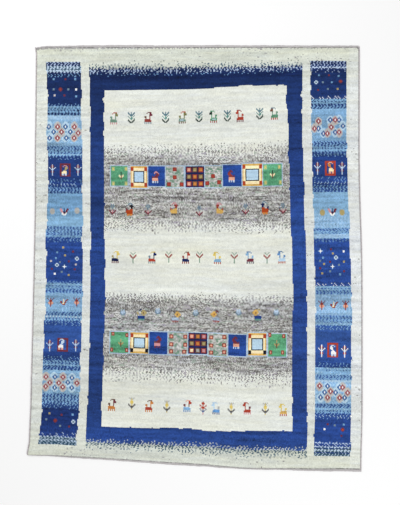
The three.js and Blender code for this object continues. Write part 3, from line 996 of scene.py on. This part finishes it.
    def paint_grey_bands(self, field):
        """The two bands of unevenly spun natural greys across the field."""
        row = self.row_at(MIDDLE_COLUMN)[:, None]
        row = row + 0.5 * smooth_noise(self.rng, self.wool.shape, 1, 14)
        grey = field & (self.specks < straight(GREY_SHARE, row))
        tone = self.noise(*GREY_NOISE)
        tone += straight(GREY_TONE, row)
        self.grade(grey, tone, GREY_WOOLS)
        tint = smooth_noise(self.rng, self.wool.shape, 0.5, 1.4)
        self.fill(grey & (tint > TINT_LIMIT) & (tone > TINT_TONE), "lilac")
        self.fill(grey & (tint < -TINT_LIMIT) & (tone > TINT_TONE), "willow")

    def block(self, column, row, box, name):
        """Knots a rectangle whose left, top, width and height are counted from a chart place."""
        top, left = self.nearest(column + 0.5, row + 0.5)
        x, y, width, height = box
        self.fill(np.s_[top + y : top + y + height, left + x : left + x + width], name)

    def paint_squares(self):
        """The rows of squares, each with a thin pale outline."""
        for kind, column, row, width, height, wools in SQUARES:
            names = wools.split()
            self.block(column, row, (-1, -1, width + 2, height + 2), "haze")
            self.block(column, row, (0, 0, width, height), GROUNDS.get(kind) or names[0])
            if kind == "window":
                for x, y, name in WINDOW_FRAMES:
                    self.block(column, row, (x, y, width - 2 * x, height - 2 * y), name)
                right = width - CORNER_SIZE[0]
                low = height - CORNER_SIZE[1] - 1
                for name, (x, y) in zip(names, ((0, 1), (right, 1), (0, low), (right, low))):
                    self.block(column, row, (x, y, *CORNER_SIZE), name)
                    if name == "rust":
                        self.block(column, row, (x + 1, y + 1, 1, 2), "red")
            if kind == "cells":
                for place, name in enumerate(names):
                    x = 1 + CELL_PITCH[0] * (place % 3)
                    y = 1 + CELL_PITCH[1] * (place // 3)
                    ground = "brown" if place % 2 else "madder"
                    self.block(column, row, (x, y, *CELL_SIZE), ground)
                    self.block(column, row, (x + 1, y + 1, *SPOT_SIZE), name)
        tone = smooth_noise(self.rng, self.wool.shape, 0.5, 0.8)
        self.grade(self.wool == self.number["mixed"], tone, MIXED_WOOLS)

    def nearest(self, column, row):
        """The place in the knot grid of the knot nearest to a chart column and row."""
        distance = (self.columns - column) ** 2 + (self.rows - row) ** 2
        return np.unravel_index(distance.argmin(), distance.shape)

    def stamp(self, motif, turned, wools, column, row):
        """Knots one charted motif round a chart column and row, but never over the border's wool."""
        named = dict(pair.split("=") for pair in wools.split())
        if "b" in named:
            named.setdefault("i", named["b"])
        lines = [line[::-1] if turned else line for line in CHARTS[motif]]
        top, left = self.nearest(column - (len(lines[0]) - 1) / 2, row - (len(lines) - 1) / 2)
        letters = np.array([list(line) for line in lines])
        box = np.s_[top : top + len(lines), left : left + len(lines[0])]
        letters[self.wool[box] == self.number["border"]] = "."
        for letter, name in named.items():
            self.wool[box][letters == letter] = self.number[name]
        self.blend[box][letters != "."] = 0

    def paint_motifs(self):
        """The pale patches round the diamonds, then all the motifs."""
        for motif, turned, wools, places in MOTIFS:
            if motif == "diamond":
                for place in places:
                    self.stamp("patch", turned, wools, *place)
        for motif, turned, wools, places in MOTIFS:
            for place in places:
                self.stamp(motif, turned, wools, *place)

    def colours(self):
        """The colour of each knot, with the streaks and uneven dye of hand-spun wool."""
        strength = np.array([STREAKS.get(name, PLAIN_STREAKS) for name in self.number])
        tone = self.noise(*YARN_NOISE)
        tone = 1 + strength[self.wool] * tone
        row = self.row_at(MIDDLE_COLUMN)[:, None]
        blue = np.isin(self.wool, (self.number["deep"], self.number["ink"]))
        left_lots = straight(INDIGO_TONE, row)
        lot = np.where(self.columns < LOT_COLUMN, left_lots, straight(INDIGO_TONE, row, 2))
        tone = np.where(blue, tone * lot, tone)
        border = self.wool == self.number["border"]
        tone = np.where(border, tone * straight(BORDER_TONE, row), tone)
        right = border & (self.columns > RIGHT_EDGE_COLUMN)
        tone *= 1 + RIGHT_EDGE_LIGHTER * right
        warmth = 0.5 * smooth_noise(self.rng, self.wool.shape, 5, 30)
        warmth += 0.5 * smooth_noise(self.rng, self.wool.shape, 0.6, 6)
        tint = 1 + warmth[..., None] * WARMTH
        kept_blue = straight(BORDER_TONE, row, 2) + RIGHT_EDGE_BLUER * right
        tint[..., 2] *= np.where(border, kept_blue, 1)
        blend = self.blend[..., None]
        seen = self.palette**EYE
        plain = (seen[self.wool] * (1 - blend) + seen[self.second] * blend) ** (1 / EYE)
        return np.clip(plain * tone[..., None] * tint, 0, LIGHTEST)


def cartoon():
    """The colour of every knot of the rug, from its cartoon. It comes out the same each time."""
    sizes = bpy.context.scene.gabbeh_sizes
    columns = np.arange(sizes.columns) + 0.5
    rows = np.arange(sizes.rows) + 0.5
    spots = lines_plan(columns, rows, np.zeros(len(columns)), np.zeros(len(rows)))
    chart = Cartoon(
        CHART_MIDDLE[0] + (spots[..., 0] + BOX_MIDDLE[0]) / KNOT,
        CHART_MIDDLE[1] - (spots[..., 1] + BOX_MIDDLE[1]) / KNOT,
        np.random.default_rng(CARTOON_SEED),
    )
    chart.paint_borders()
    field = chart.paint_frame()
    chart.paint_grey_bands(field)
    chart.paint_squares()
    chart.paint_motifs()
    return chart.colours()


def folded(blocks, panels):
    """Places of grid cells on a bake map, with no two on top of each other.

    blocks are the (rows, columns) of the grids. Each grid is cut into panels side by side, and
    the panels are stacked with one cell between them. Returns the near left corner of each cell
    for each grid, and the width and height of the whole stack, all counted in cells.
    """
    width = max(-(-columns // panels) for _, columns in blocks)
    base = 0
    places = []
    for rows, columns in blocks:
        j, i = np.mgrid[0:rows, 0:columns]
        places.append((i % width, base + (i // width) * (rows + 1) + j))
        base += -(-columns // width) * (rows + 1)
    return places, width, base - 1


def cell_uvs(place, corners, width, height):
    """Map coordinates of cell corners, given as offsets right and down from the cell's corner."""
    u, v = place
    offsets = np.array(corners, float)
    spots = np.stack((u[..., None] + offsets[:, 0], v[..., None] + offsets[:, 1]), axis=-1)
    spots = spots / np.array((width, height))
    spots[..., 1] = 1 - spots[..., 1]
    return MAP_MARGIN + (1 - 2 * MAP_MARGIN) * spots


def mesh_piece(name, points, corners, uvs, colours, material):
    """An object made of triangles, with its bake map and the wool of each triangle."""
    mesh = bpy.data.meshes.new(name)
    mesh.vertices.add(len(points))
    mesh.vertices.foreach_set("co", (points * MM).astype(np.float32).ravel())
    mesh.loops.add(corners.size)
    mesh.loops.foreach_set("vertex_index", corners.astype(np.int32).ravel())
    mesh.polygons.add(len(corners))
    mesh.polygons.foreach_set("loop_start", np.arange(0, corners.size, 3, dtype=np.int32))
    mesh.polygons.foreach_set("use_smooth", np.ones(len(corners), dtype=bool))
    layer = mesh.uv_layers.new(name="OFBake")
    layer.data.foreach_set("uv", uvs.astype(np.float32).ravel())
    attribute = mesh.color_attributes.new(name="wool", type="FLOAT_COLOR", domain="CORNER")
    painted = np.ones((len(corners), 3, 4), dtype=np.float32)
    painted[..., :3] = colours[:, None, :]
    attribute.data.foreach_set("color", painted.ravel())
    mesh.update(calc_edges=True)
    if mesh.validate(verbose=True):
        raise RuntimeError(f"the mesh of {name} had faults")
    piece = bpy.data.objects.new(name, mesh)
    bpy.context.scene.collection.objects.link(piece)
    mesh.materials.append(material)
    return piece


def put(tree, kind, inputs, **settings):
    """Adds a node to a tree, applies its settings, and sets or links its inputs."""
    node = tree.nodes.new(kind)
    for key, value in settings.items():
        setattr(node, key, value)
    for key, value in inputs.items():
        if isinstance(value, bpy.types.NodeSocket):
            tree.links.new(value, node.inputs[key])
        else:
            node.inputs[key].default_value = value
    return node


def wool_material(name, fibre, bump, sheen):
    """Hand-spun wool yarn: matt, with fine uneven fibres and a faint sheen at grazing light.

    The colour of each knot comes from the mesh. Noise of a fibre bundle's size lightens and
    darkens it and raises the surface by bump. The darkening is partly the fibres' uneven tone and
    partly painted shade, as the lower places of the bump are the darker ones. fibre is the bundles'
    width and bump their height in millimetres. They are drawn about 1 mm wide, coarser than real
    fibres of 0.03 mm, which would be far too fine to see.
    """
    material = bpy.data.materials.new(name)
    material.use_nodes = True
    tree = material.node_tree
    tree.nodes.clear()
    colour = put(tree, "ShaderNodeAttribute", {}, attribute_name="wool")
    spots = put(tree, "ShaderNodeTexCoord", {})
    noise = put(
        tree, "ShaderNodeTexNoise",
        {"Vector": spots.outputs["Object"], "Scale": 1 / (fibre * MM), "Detail": 3.0, "Roughness": 0.6},
    )
    # Painted shade with the fibres' own uneven tone: the same noise raises the bump, so its hollows are
    # darker.
    shade = put(
        tree, "ShaderNodeMapRange",
        {
            "Value": noise.outputs["Fac"],
            "From Min": 0.3, "From Max": 0.7, "To Min": 0.88, "To Max": 1.08,
        },
    )
    toned = put(
        tree, "ShaderNodeVectorMath", {0: colour.outputs["Color"], "Scale": shade.outputs["Result"]},
        operation="SCALE",
    )
    raised = put(
        tree, "ShaderNodeBump",
        {"Height": noise.outputs["Fac"], "Strength": 0.6, "Distance": bump * MM},
    )
    surface = put(
        tree, "ShaderNodeBsdfPrincipled",
        {
            "Base Color": toned.outputs["Vector"], "Normal": raised.outputs["Normal"],
            "Roughness": 0.95, "Specular IOR Level": 0.1,
            "Sheen Weight": sheen, "Sheen Roughness": 0.6,
        },
    )
    put(tree, "ShaderNodeOutputMaterial", {"Surface": surface.outputs["BSDF"]})
    return material


def walled(wall, inner, count):
    """Values for the lines of the pile: the wall's at both edges, and one for all between."""
    return np.concatenate((wall, np.full(count + 1, inner), wall[::-1]))


class GABBEH_OT_knot_pile(bpy.types.Operator):
    """Knots the pile in strips across the rug, each knot a small mound of its own colour"""

    bl_idname = "gabbeh.knot_pile"
    bl_label = "Knot the pile"

    def execute(self, context):
        sizes = context.scene.gabbeh_sizes
        rng = np.random.default_rng(PILE_SEED)
        points = self.gap_points(rng)
        centres = self.tip_points(points, rng)
        walls = (WALL_LINES, WALL_LINES)
        colours = np.pad(cartoon(), (walls, walls, (0, 0)), mode="edge")
        material = wool_material("wool_pile_knots", fibre=1.2, bump=0.4, sheen=0.08)
        cuts = np.linspace(0, len(centres), sizes.strips + 1).round().astype(int)
        for strip, (start, stop) in enumerate(zip(cuts, cuts[1:])):
            piece = self.strip_piece(
                f"rug_pile_{strip + 1}", points[start : stop + 1], centres[start:stop],
                colours[start:stop], material,
            )
            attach(piece, "root")
            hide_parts("rug_body")
        return {"FINISHED"}

    def gap_points(self, rng):
        """The corners between knots: level lines over the whole top, and the walls' lines.

        A corner's height is the lower of its column's and its row's. On the top, noise moves it
        up, down and sideways.
        """
        sizes = bpy.context.scene.gabbeh_sizes
        columns = np.arange(-WALL_LINES, sizes.columns + WALL_LINES + 1)
        rows = np.arange(-WALL_LINES, sizes.rows + WALL_LINES + 1)
        sides = walled(WALL_SIDE, TOP_SIDE, sizes.columns)
        flat = lines_plan(columns, rows, sides, walled(WALL_END, 0.0, sizes.rows))
        shape = flat.shape[:2]
        level = in_mm("pile_top") - in_mm("tuft")
        by_column = walled(WALL_HEIGHT, level, sizes.columns)
        by_row = walled(WALL_HEIGHT, level, sizes.rows)
        height = np.minimum(by_column[None, :], by_row[:, None])
        top = height > WALL_HEIGHT[-1]
        height[top] += GAP_UNEVEN * capped_noise(rng, shape)[top]
        height[top] += GAP_WAVES * smooth_noise(rng, shape, 20, 30)[top]
        flat[top] += rng.normal(0, PLACE_UNEVEN, flat.shape)[top]
        return np.concatenate((flat, height[..., None]), axis=-1)

    def tip_points(self, points, rng):
        """The knots' tips: each cell's middle, raised square to the cell and leaning nearwards."""
        corners = [points[:-1, :-1], points[1:, :-1], points[1:, 1:], points[:-1, 1:]]
        facing = np.cross(corners[2] - corners[0], corners[3] - corners[1])
        facing /= np.linalg.norm(facing, axis=-1, keepdims=True)
        noise = capped_noise(rng, facing.shape[:2])
        swell = np.full(noise.shape, WALL_TUFT)
        top = np.s_[WALL_LINES:-WALL_LINES, WALL_LINES:-WALL_LINES]
        swell[top] = in_mm("tuft") + TIP_UNEVEN * noise[top]
        centres = sum(corners) / 4 + facing * swell[..., None]
        centres[..., 1] -= LEAN
        return centres

    def strip_piece(self, name, points, centres, colours, material):
        """One strip: each cell of the grid is four triangles that meet at the knot's tip."""
        rows, columns = centres.shape[:2]
        number = np.arange((rows + 1) * (columns + 1)).reshape(rows + 1, columns + 1)
        tip = (rows + 1) * (columns + 1) + np.arange(rows * columns).reshape(rows, columns)
        ring = (number[:-1, :-1], number[1:, :-1], number[1:, 1:], number[:-1, 1:])
        triangles = [np.stack((ring[k], ring[(k + 1) % 4], tip), axis=-1) for k in range(4)]
        places, width, height = folded([(rows, columns)], 2)
        uvs = [
            cell_uvs(places[0], (AROUND[k], AROUND[(k + 1) % 4], (0.5, 0.5)), width, height)
            for k in range(4)
        ]
        spots = np.concatenate((points.reshape(-1, 3), centres.reshape(-1, 3)))
        painted = np.repeat(colours.reshape(-1, 3), 4, axis=0)
        return mesh_piece(
            name, spots, np.stack(triangles, axis=2).reshape(-1, 3),
            np.stack(uvs, axis=2).reshape(-1, 3, 2), painted, material,
        )


def two_sides(flat, upper, lower):
    """The upper and lower grids of a thin sheet from its plan and heights, one at the rim."""
    rim = np.ones(flat.shape[:2], dtype=bool)
    rim[1:-1, 1:-1] = False
    heights = [np.where(rim, RIM_HEIGHT, height)[..., None] for height in (upper, lower)]
    return [np.concatenate((flat, height), axis=-1) for height in heights]


def closed_sheet(name, upper, lower, upper_colours, lower_colours, panels, material):
    """A thin sheet closed at its rim, from an upper and a lower grid that share their border.

    Each grid cell is two triangles, split along the diagonal that points to the sheet's middle.
    The upper side faces up and the lower one down.
    """
    rows, columns = upper.shape[0] - 1, upper.shape[1] - 1
    number = np.arange(upper.shape[0] * upper.shape[1]).reshape(upper.shape[:2])
    inner = np.zeros(upper.shape[:2], dtype=bool)
    inner[1:-1, 1:-1] = True
    below = number.copy()
    below[inner] = number.size + np.arange(inner.sum())
    places, width, height = folded([(rows, columns), (rows, columns)], panels)
    triangles = []
    uvs = []
    halves = (((0, 1, 2), (0, 2, 3)), ((0, 2, 1), (0, 3, 2)))
    j, i = np.mgrid[0:rows, 0:columns]
    turned = ((j < rows / 2) != (i < columns / 2)).astype(int)[..., None]
    for grid, place, order in ((number, places[0], halves[0]), (below, places[1], halves[1])):
        ring = np.stack((grid[:-1, :-1], grid[1:, :-1], grid[1:, 1:], grid[:-1, 1:]), axis=-1)
        ring_uvs = cell_uvs(place, AROUND, width, height)
        picks = [(np.array(half) + turned) % 4 for half in order]
        both = [np.take_along_axis(ring, pick, axis=2) for pick in picks]
        triangles.append(np.stack(both, axis=2).reshape(-1, 3))
        both = [np.take_along_axis(ring_uvs, pick[..., None], axis=2) for pick in picks]
        uvs.append(np.stack(both, axis=2).reshape(-1, 3, 2))
    spots = np.concatenate((upper.reshape(-1, 3), lower[inner]))
    painted = [np.repeat(c.reshape(-1, 3), 2, axis=0) for c in (upper_colours, lower_colours)]
    return mesh_piece(
        name, spots, np.concatenate(triangles), np.concatenate(uvs), np.concatenate(painted),
        material,
    )


class GABBEH_OT_weave_ends(bpy.types.Operator):
    """Weaves the narrow flat-woven end beyond the pile at each short side"""

    bl_idname = "gabbeh.weave_ends"
    bl_label = "Weave the ends"

    def execute(self, context):
        rng = np.random.default_rng(ENDS_SEED)
        material = wool_material("wool_flat_weave", fibre=0.9, bump=0.3, sheen=0.1)
        self.end_piece("flat_weave_far", True, rng, material)
        self.end_piece("flat_weave_near", False, rng, material)
        return {"FINISHED"}

    def end_piece(self, name, far, rng, material):
        """One end: wefts packed over the warps, so that ribs run out from the pile.

        Height is a little less than the foundation's plus a small wave that turns over from warp
        to warp and from weft to weft. The outer edge wanders by a millimetre or so about a line
        just past the body's edge.
        """
        sizes = bpy.context.scene.gabbeh_sizes
        points = sizes.columns * RIB_POINTS
        across = np.linspace(0, 1, points + 1)
        depth = eased(FAR_DEPTH if far else NEAR_DEPTH, across)
        ragged = np.zeros(points + 1)
        for strength, reach in END_RAGGED:
            ragged += strength * smooth_noise(rng, (1, points + 1), 0, reach)[0]
        out = np.linspace(0, 1, WEFTS + 1)[:, None]
        inset = depth * (1 - out) + (ragged - END_REACH) * out
        grid_across = np.repeat(across[None, :], WEFTS + 1, axis=0)
        zero = np.zeros_like(grid_across)
        side = in_mm("selvedge") + in_mm("gap") + END_SIDE
        if far:
            flat = inset_plan(grid_across, zero + 1, side, zero, inset)
        else:
            flat = inset_plan(grid_across, zero, side, inset, zero)
        turn = np.where(np.arange(WEFTS + 1) % 2 == 0, 1, -1)[:, None]
        wave = np.cos(np.pi * np.arange(points + 1) / RIB_POINTS) * turn
        height = in_mm("weave") - WEAVE_DIP + WEAVE_WAVE * wave
        height += rng.normal(0, WEAVE_UNEVEN, wave.shape)
        upper, lower = two_sides(flat, height, UNDER_HEIGHT + UNDER_WAVE * wave)
        wools = bpy.context.scene.gabbeh_wools
        tone = 1 + WEFT_STREAKS * smooth_noise(rng, (WEFTS, points), 0.4, 60)
        flecks = rng.standard_normal((WEFTS, sizes.columns))
        tone += RIB_FLECKS * flecks.repeat(RIB_POINTS, axis=1)
        colours = np.array(wools.kilim) * tone[..., None]
        # Dark stitches next to the pile, partly painted shadow under the pile's edge, darker at the near
        # end.
        stitches_and_shadow = smooth_noise(rng, (STITCH_AND_SHADOW_ROWS, points), 0.3, 3) > STITCH_AND_SHADOW_LIMIT
        dark = np.array(wools.smoke) * (FAR_STITCH_AND_SHADOW_TONE if far else NEAR_STITCH_AND_SHADOW_TONE)
        colours[:STITCH_AND_SHADOW_ROWS][stitches_and_shadow] = dark
        if far:
            upper, lower, colours = upper[::-1], lower[::-1], colours[::-1]
        piece = closed_sheet(name, upper, lower, colours, colours, 8, material)
        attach(piece, "root")
        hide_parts("rug_body")


class GABBEH_OT_wrap_selvedges(bpy.types.Operator):
    """Wraps the cords along the two long sides with wool"""

    bl_idname = "gabbeh.wrap_selvedges"
    bl_label = "Wrap the selvedges"

    def execute(self, context):
        rng = np.random.default_rng(SELVEDGE_SEED)
        material = wool_material("wool_selvedge", fibre=0.9, bump=0.35, sheen=0.12)
        for side, across, inward in (("left", 0.0, 1), ("right", 1.0, -1)):
            piece = self.cord_piece(f"selvedge_wrap_{side}", across, inward, rng, material)
            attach(piece, "root")
            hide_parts(f"selvedge_{side}")
        return {"FINISHED"}

    def cord_piece(self, name, across, inward, rng, material):
        """One cord: an oval section carried along the side, grooved where the turns of yarn meet.

        The radius is half the width x (1 - GROOVE x groove) x a slow swelling, where the groove
        peaks once for each turn and slants round the cord. The last few millimetres draw in to a
        point at each end.
        """
        half = in_mm("selvedge") / 2
        length = FAR_LEFT[1] - NEAR_LEFT[1]
        turns = int(length / in_mm("wrap"))
        rings = turns * TURN_RINGS + 1
        up = np.linspace(0, 1, rings)
        path = plan(np.full(rings, across), up) + np.array((inward * half, 0))
        tip = np.clip(np.minimum(up, 1 - up) * length / TIP_LENGTH, 0, 1) ** 0.5
        turn = up * turns
        angle = np.arange(CORD_POINTS) * 2 * np.pi / CORD_POINTS
        slant = SLANT * np.sin(angle + 0.6)
        phase = turn[:, None] + slant + rng.normal(0, TURN_UNEVEN, (rings, 1))
        groove = np.abs(np.cos(np.pi * phase)) ** 3
        swelling = 1 + SWELLING * smooth_noise(rng, (rings, 1), 6, 0)
        swelling = np.clip(swelling, *SWELLING_LIMITS)
        radius = half * (1 - GROOVE * groove) * swelling * tip[:, None]
        x = path[:, None, 0] + radius * np.cos(angle)
        y = path[:, None, 1] + np.zeros((1, CORD_POINTS))
        z = np.maximum(half + radius * np.sin(angle), SELVEDGE_FLOOR)
        number = np.arange(rings * CORD_POINTS).reshape(rings, CORD_POINTS)
        number[0] = 0
        number[-1] = (rings - 1) * CORD_POINTS
        number = np.concatenate((number, number[:, :1]), axis=1)
        cells = (number[:-1, :-1], number[:-1, 1:], number[1:, 1:], number[1:, :-1])
        places, width, height = folded([(CORD_POINTS, rings - 1)], 12)
        place = (places[0][0].T, places[0][1].T)
        triangles = []
        uvs = []
        for order in ((0, 2, 1), (0, 3, 2)):
            triangles.append(np.stack([cells[k] for k in order], axis=-1))
            uvs.append(cell_uvs(place, [AROUND[k] for k in order], width, height))
        triangles = np.stack(triangles, axis=2).reshape(-1, 3)
        uvs = np.stack(uvs, axis=2).reshape(-1, 3, 2)
        wools = bpy.context.scene.gabbeh_wools
        shade = 1 + TURN_TONE * rng.standard_normal(turns + 2)
        # The grooves between the turns get painted shade, darker where they are deeper.
        tone = shade[(turn[:-1] + 0.5).astype(int)][:, None] * (1 - GROOVE_PAINTED_SHADE * groove[:-1])
        painted = np.repeat((np.array(wools.mauve) * tone[..., None]).reshape(-1, 3), 2, axis=0)
        kept = (triangles[:, 0] != triangles[:, 1]) & (triangles[:, 1] != triangles[:, 2])
        kept &= triangles[:, 0] != triangles[:, 2]
        used, compact = np.unique(triangles[kept], return_inverse=True)
        spots = np.stack((x, y, z), axis=-1).reshape(-1, 3)[used]
        return mesh_piece(name, spots, compact.reshape(-1, 3), uvs[kept], painted[kept], material)


class GABBEH_OT_weave_foundation(bpy.types.Operator):
    """Weaves the foundation under the pile, whose back shows the pattern in reverse"""

    bl_idname = "gabbeh.weave_foundation"
    bl_label = "Weave the foundation"

    def execute(self, context):
        sizes = context.scene.gabbeh_sizes
        rng = np.random.default_rng(FOUNDATION_SEED)
        columns, column_insets = self.cell_lines(sizes.columns)
        rows, row_insets = self.cell_lines(sizes.rows)
        flat = lines_plan(columns, rows, column_insets, row_insets)
        back = BACK_HEIGHT * (1 + rng.random(flat.shape[:2]))
        upper, lower = two_sides(flat, in_mm("weave"), back)
        cells = cartoon()[::CELL_KNOTS, ::CELL_KNOTS]
        colours = np.pad(cells, ((1, 1), (1, 1), (0, 0)), mode="edge")
        material = wool_material("wool_foundation", fibre=1.0, bump=0.5, sheen=0.1)
        piece = closed_sheet(
            "rug_foundation", upper, lower, colours, colours * BACK_TONE, 1, material,
        )
        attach(piece, "root")
        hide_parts("rug_body")
        on_it = [f"rug_pile_{strip + 1}" for strip in range(sizes.strips)]
        on_it += ["flat_weave_far", "flat_weave_near", "selvedge_wrap_left", "selvedge_wrap_right"]
        return {"FINISHED"}

    def cell_lines(self, knots):
        """The line numbers of the cells with a rim line beyond each end, and their insets."""
        lines = np.concatenate(((-1,), np.arange(0, knots + 1, CELL_KNOTS), (knots + 1,)))
        return lines, np.where((lines < 0) | (lines > knots), 0.0, FOUNDATION_INSET)


class GABBEH_OT_set_stage(bpy.types.Operator):
    """Lays the pale floor and sets the soft lights and the camera straight above the rug"""

    bl_idname = "gabbeh.set_stage"
    bl_label = "Set the stage"

    def execute(self, context):
        scene = context.scene
        scene.view_settings.view_transform = "Standard"
        floor = self.floor_piece()
        lamps = [self.lamp(*softbox) for softbox in SOFTBOXES]
        world = bpy.data.worlds.new("soft_studio")
        world.use_nodes = True
        background = world.node_tree.nodes["Background"]
        background.inputs["Color"].default_value = (1, 1, 1, 1)
        background.inputs["Strength"].default_value = WORLD_STRENGTH
        scene.world = world
        camera_data = bpy.data.cameras.new("camera_above")
        camera = bpy.data.objects.new("camera_above", camera_data)
        scene.collection.objects.link(camera)
        camera_data.lens = camera_data.sensor_width * CAMERA_HEIGHT / PICTURE_LENGTH
        camera.location = (*CAMERA_PLACE, CAMERA_HEIGHT + scene.gabbeh_sizes.pile_top)
        scene.camera = camera
        return {"FINISHED"}

    def floor_piece(self):
        """A square floor of plain, matt, pale paint."""
        mesh = bpy.data.meshes.new("studio_floor")
        turns = ((-1, -1), (1, -1), (1, 1), (-1, 1))
        spots = [(FLOOR_REACH * x, FLOOR_REACH * y, 0) for x, y in turns]
        mesh.from_pydata(spots, [], [(0, 1, 2, 3)])
        material = bpy.data.materials.new("pale_floor_paint")
        material.use_nodes = True
        surface = material.node_tree.nodes["Principled BSDF"]
        surface.inputs["Base Color"].default_value = (0.92, 0.92, 0.92, 1)
        surface.inputs["Roughness"].default_value = 0.9
        surface.inputs["Specular IOR Level"].default_value = 0.1
        mesh.materials.append(material)
        floor = bpy.data.objects.new("studio_floor", mesh)
        bpy.context.scene.collection.objects.link(floor)
        return floor

    def lamp(self, name, place, power):
        """A square softbox aimed at the rug's middle."""
        data = bpy.data.lights.new(name, "AREA")
        data.size = SOFTBOX_WIDTH
        data.energy = power
        lamp = bpy.data.objects.new(name, data)
        lamp.location = place
        bearing = math.atan2(-place[0], place[1])
        tilt = math.atan2(math.hypot(place[0], place[1]), place[2])
        lamp.rotation_euler = (-tilt, 0, bearing)
        bpy.context.scene.collection.objects.link(lamp)
        return lamp


class GABBEH_PT_rug(bpy.types.Panel):
    """The rug's settings and the steps that build it"""

    bl_label = "Gabbeh rug"
    bl_idname = "GABBEH_PT_rug"
    bl_space_type = "VIEW_3D"
    bl_region_type = "UI"
    bl_category = "Gabbeh"

    def draw(self, context):
        for key in GabbehSizes.__annotations__:
            self.layout.prop(context.scene.gabbeh_sizes, key)
        for operator in OPERATORS:
            self.layout.operator(operator.bl_idname)
        for key in GabbehWools.__annotations__:
            self.layout.prop(context.scene.gabbeh_wools, key)


OPERATORS = (
    GABBEH_OT_knot_pile,
    GABBEH_OT_weave_ends,
    GABBEH_OT_wrap_selvedges,
    GABBEH_OT_weave_foundation,
    GABBEH_OT_set_stage,
)
CLASSES = (GabbehWools, GabbehSizes, *OPERATORS, GABBEH_PT_rug)


def register():
    """Registers the classes and gives each scene the rug's settings."""
    for cls in CLASSES:
        bpy.utils.register_class(cls)
    bpy.types.Scene.gabbeh_wools = bpy.props.PointerProperty(type=GabbehWools)
    bpy.types.Scene.gabbeh_sizes = bpy.props.PointerProperty(type=GabbehSizes)


def unregister():
    """Takes the settings and classes away again."""
    del bpy.types.Scene.gabbeh_sizes
    del bpy.types.Scene.gabbeh_wools
    for cls in reversed(CLASSES):
        bpy.utils.unregister_class(cls)


def main():
    """Builds the rug and its stage."""
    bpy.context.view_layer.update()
    register()
    bpy.ops.gabbeh.knot_pile()
    bpy.ops.gabbeh.weave_ends()
    bpy.ops.gabbeh.wrap_selvedges()
    bpy.ops.gabbeh.weave_foundation()
    bpy.ops.gabbeh.set_stage()


if __name__ == "__main__":
    main()
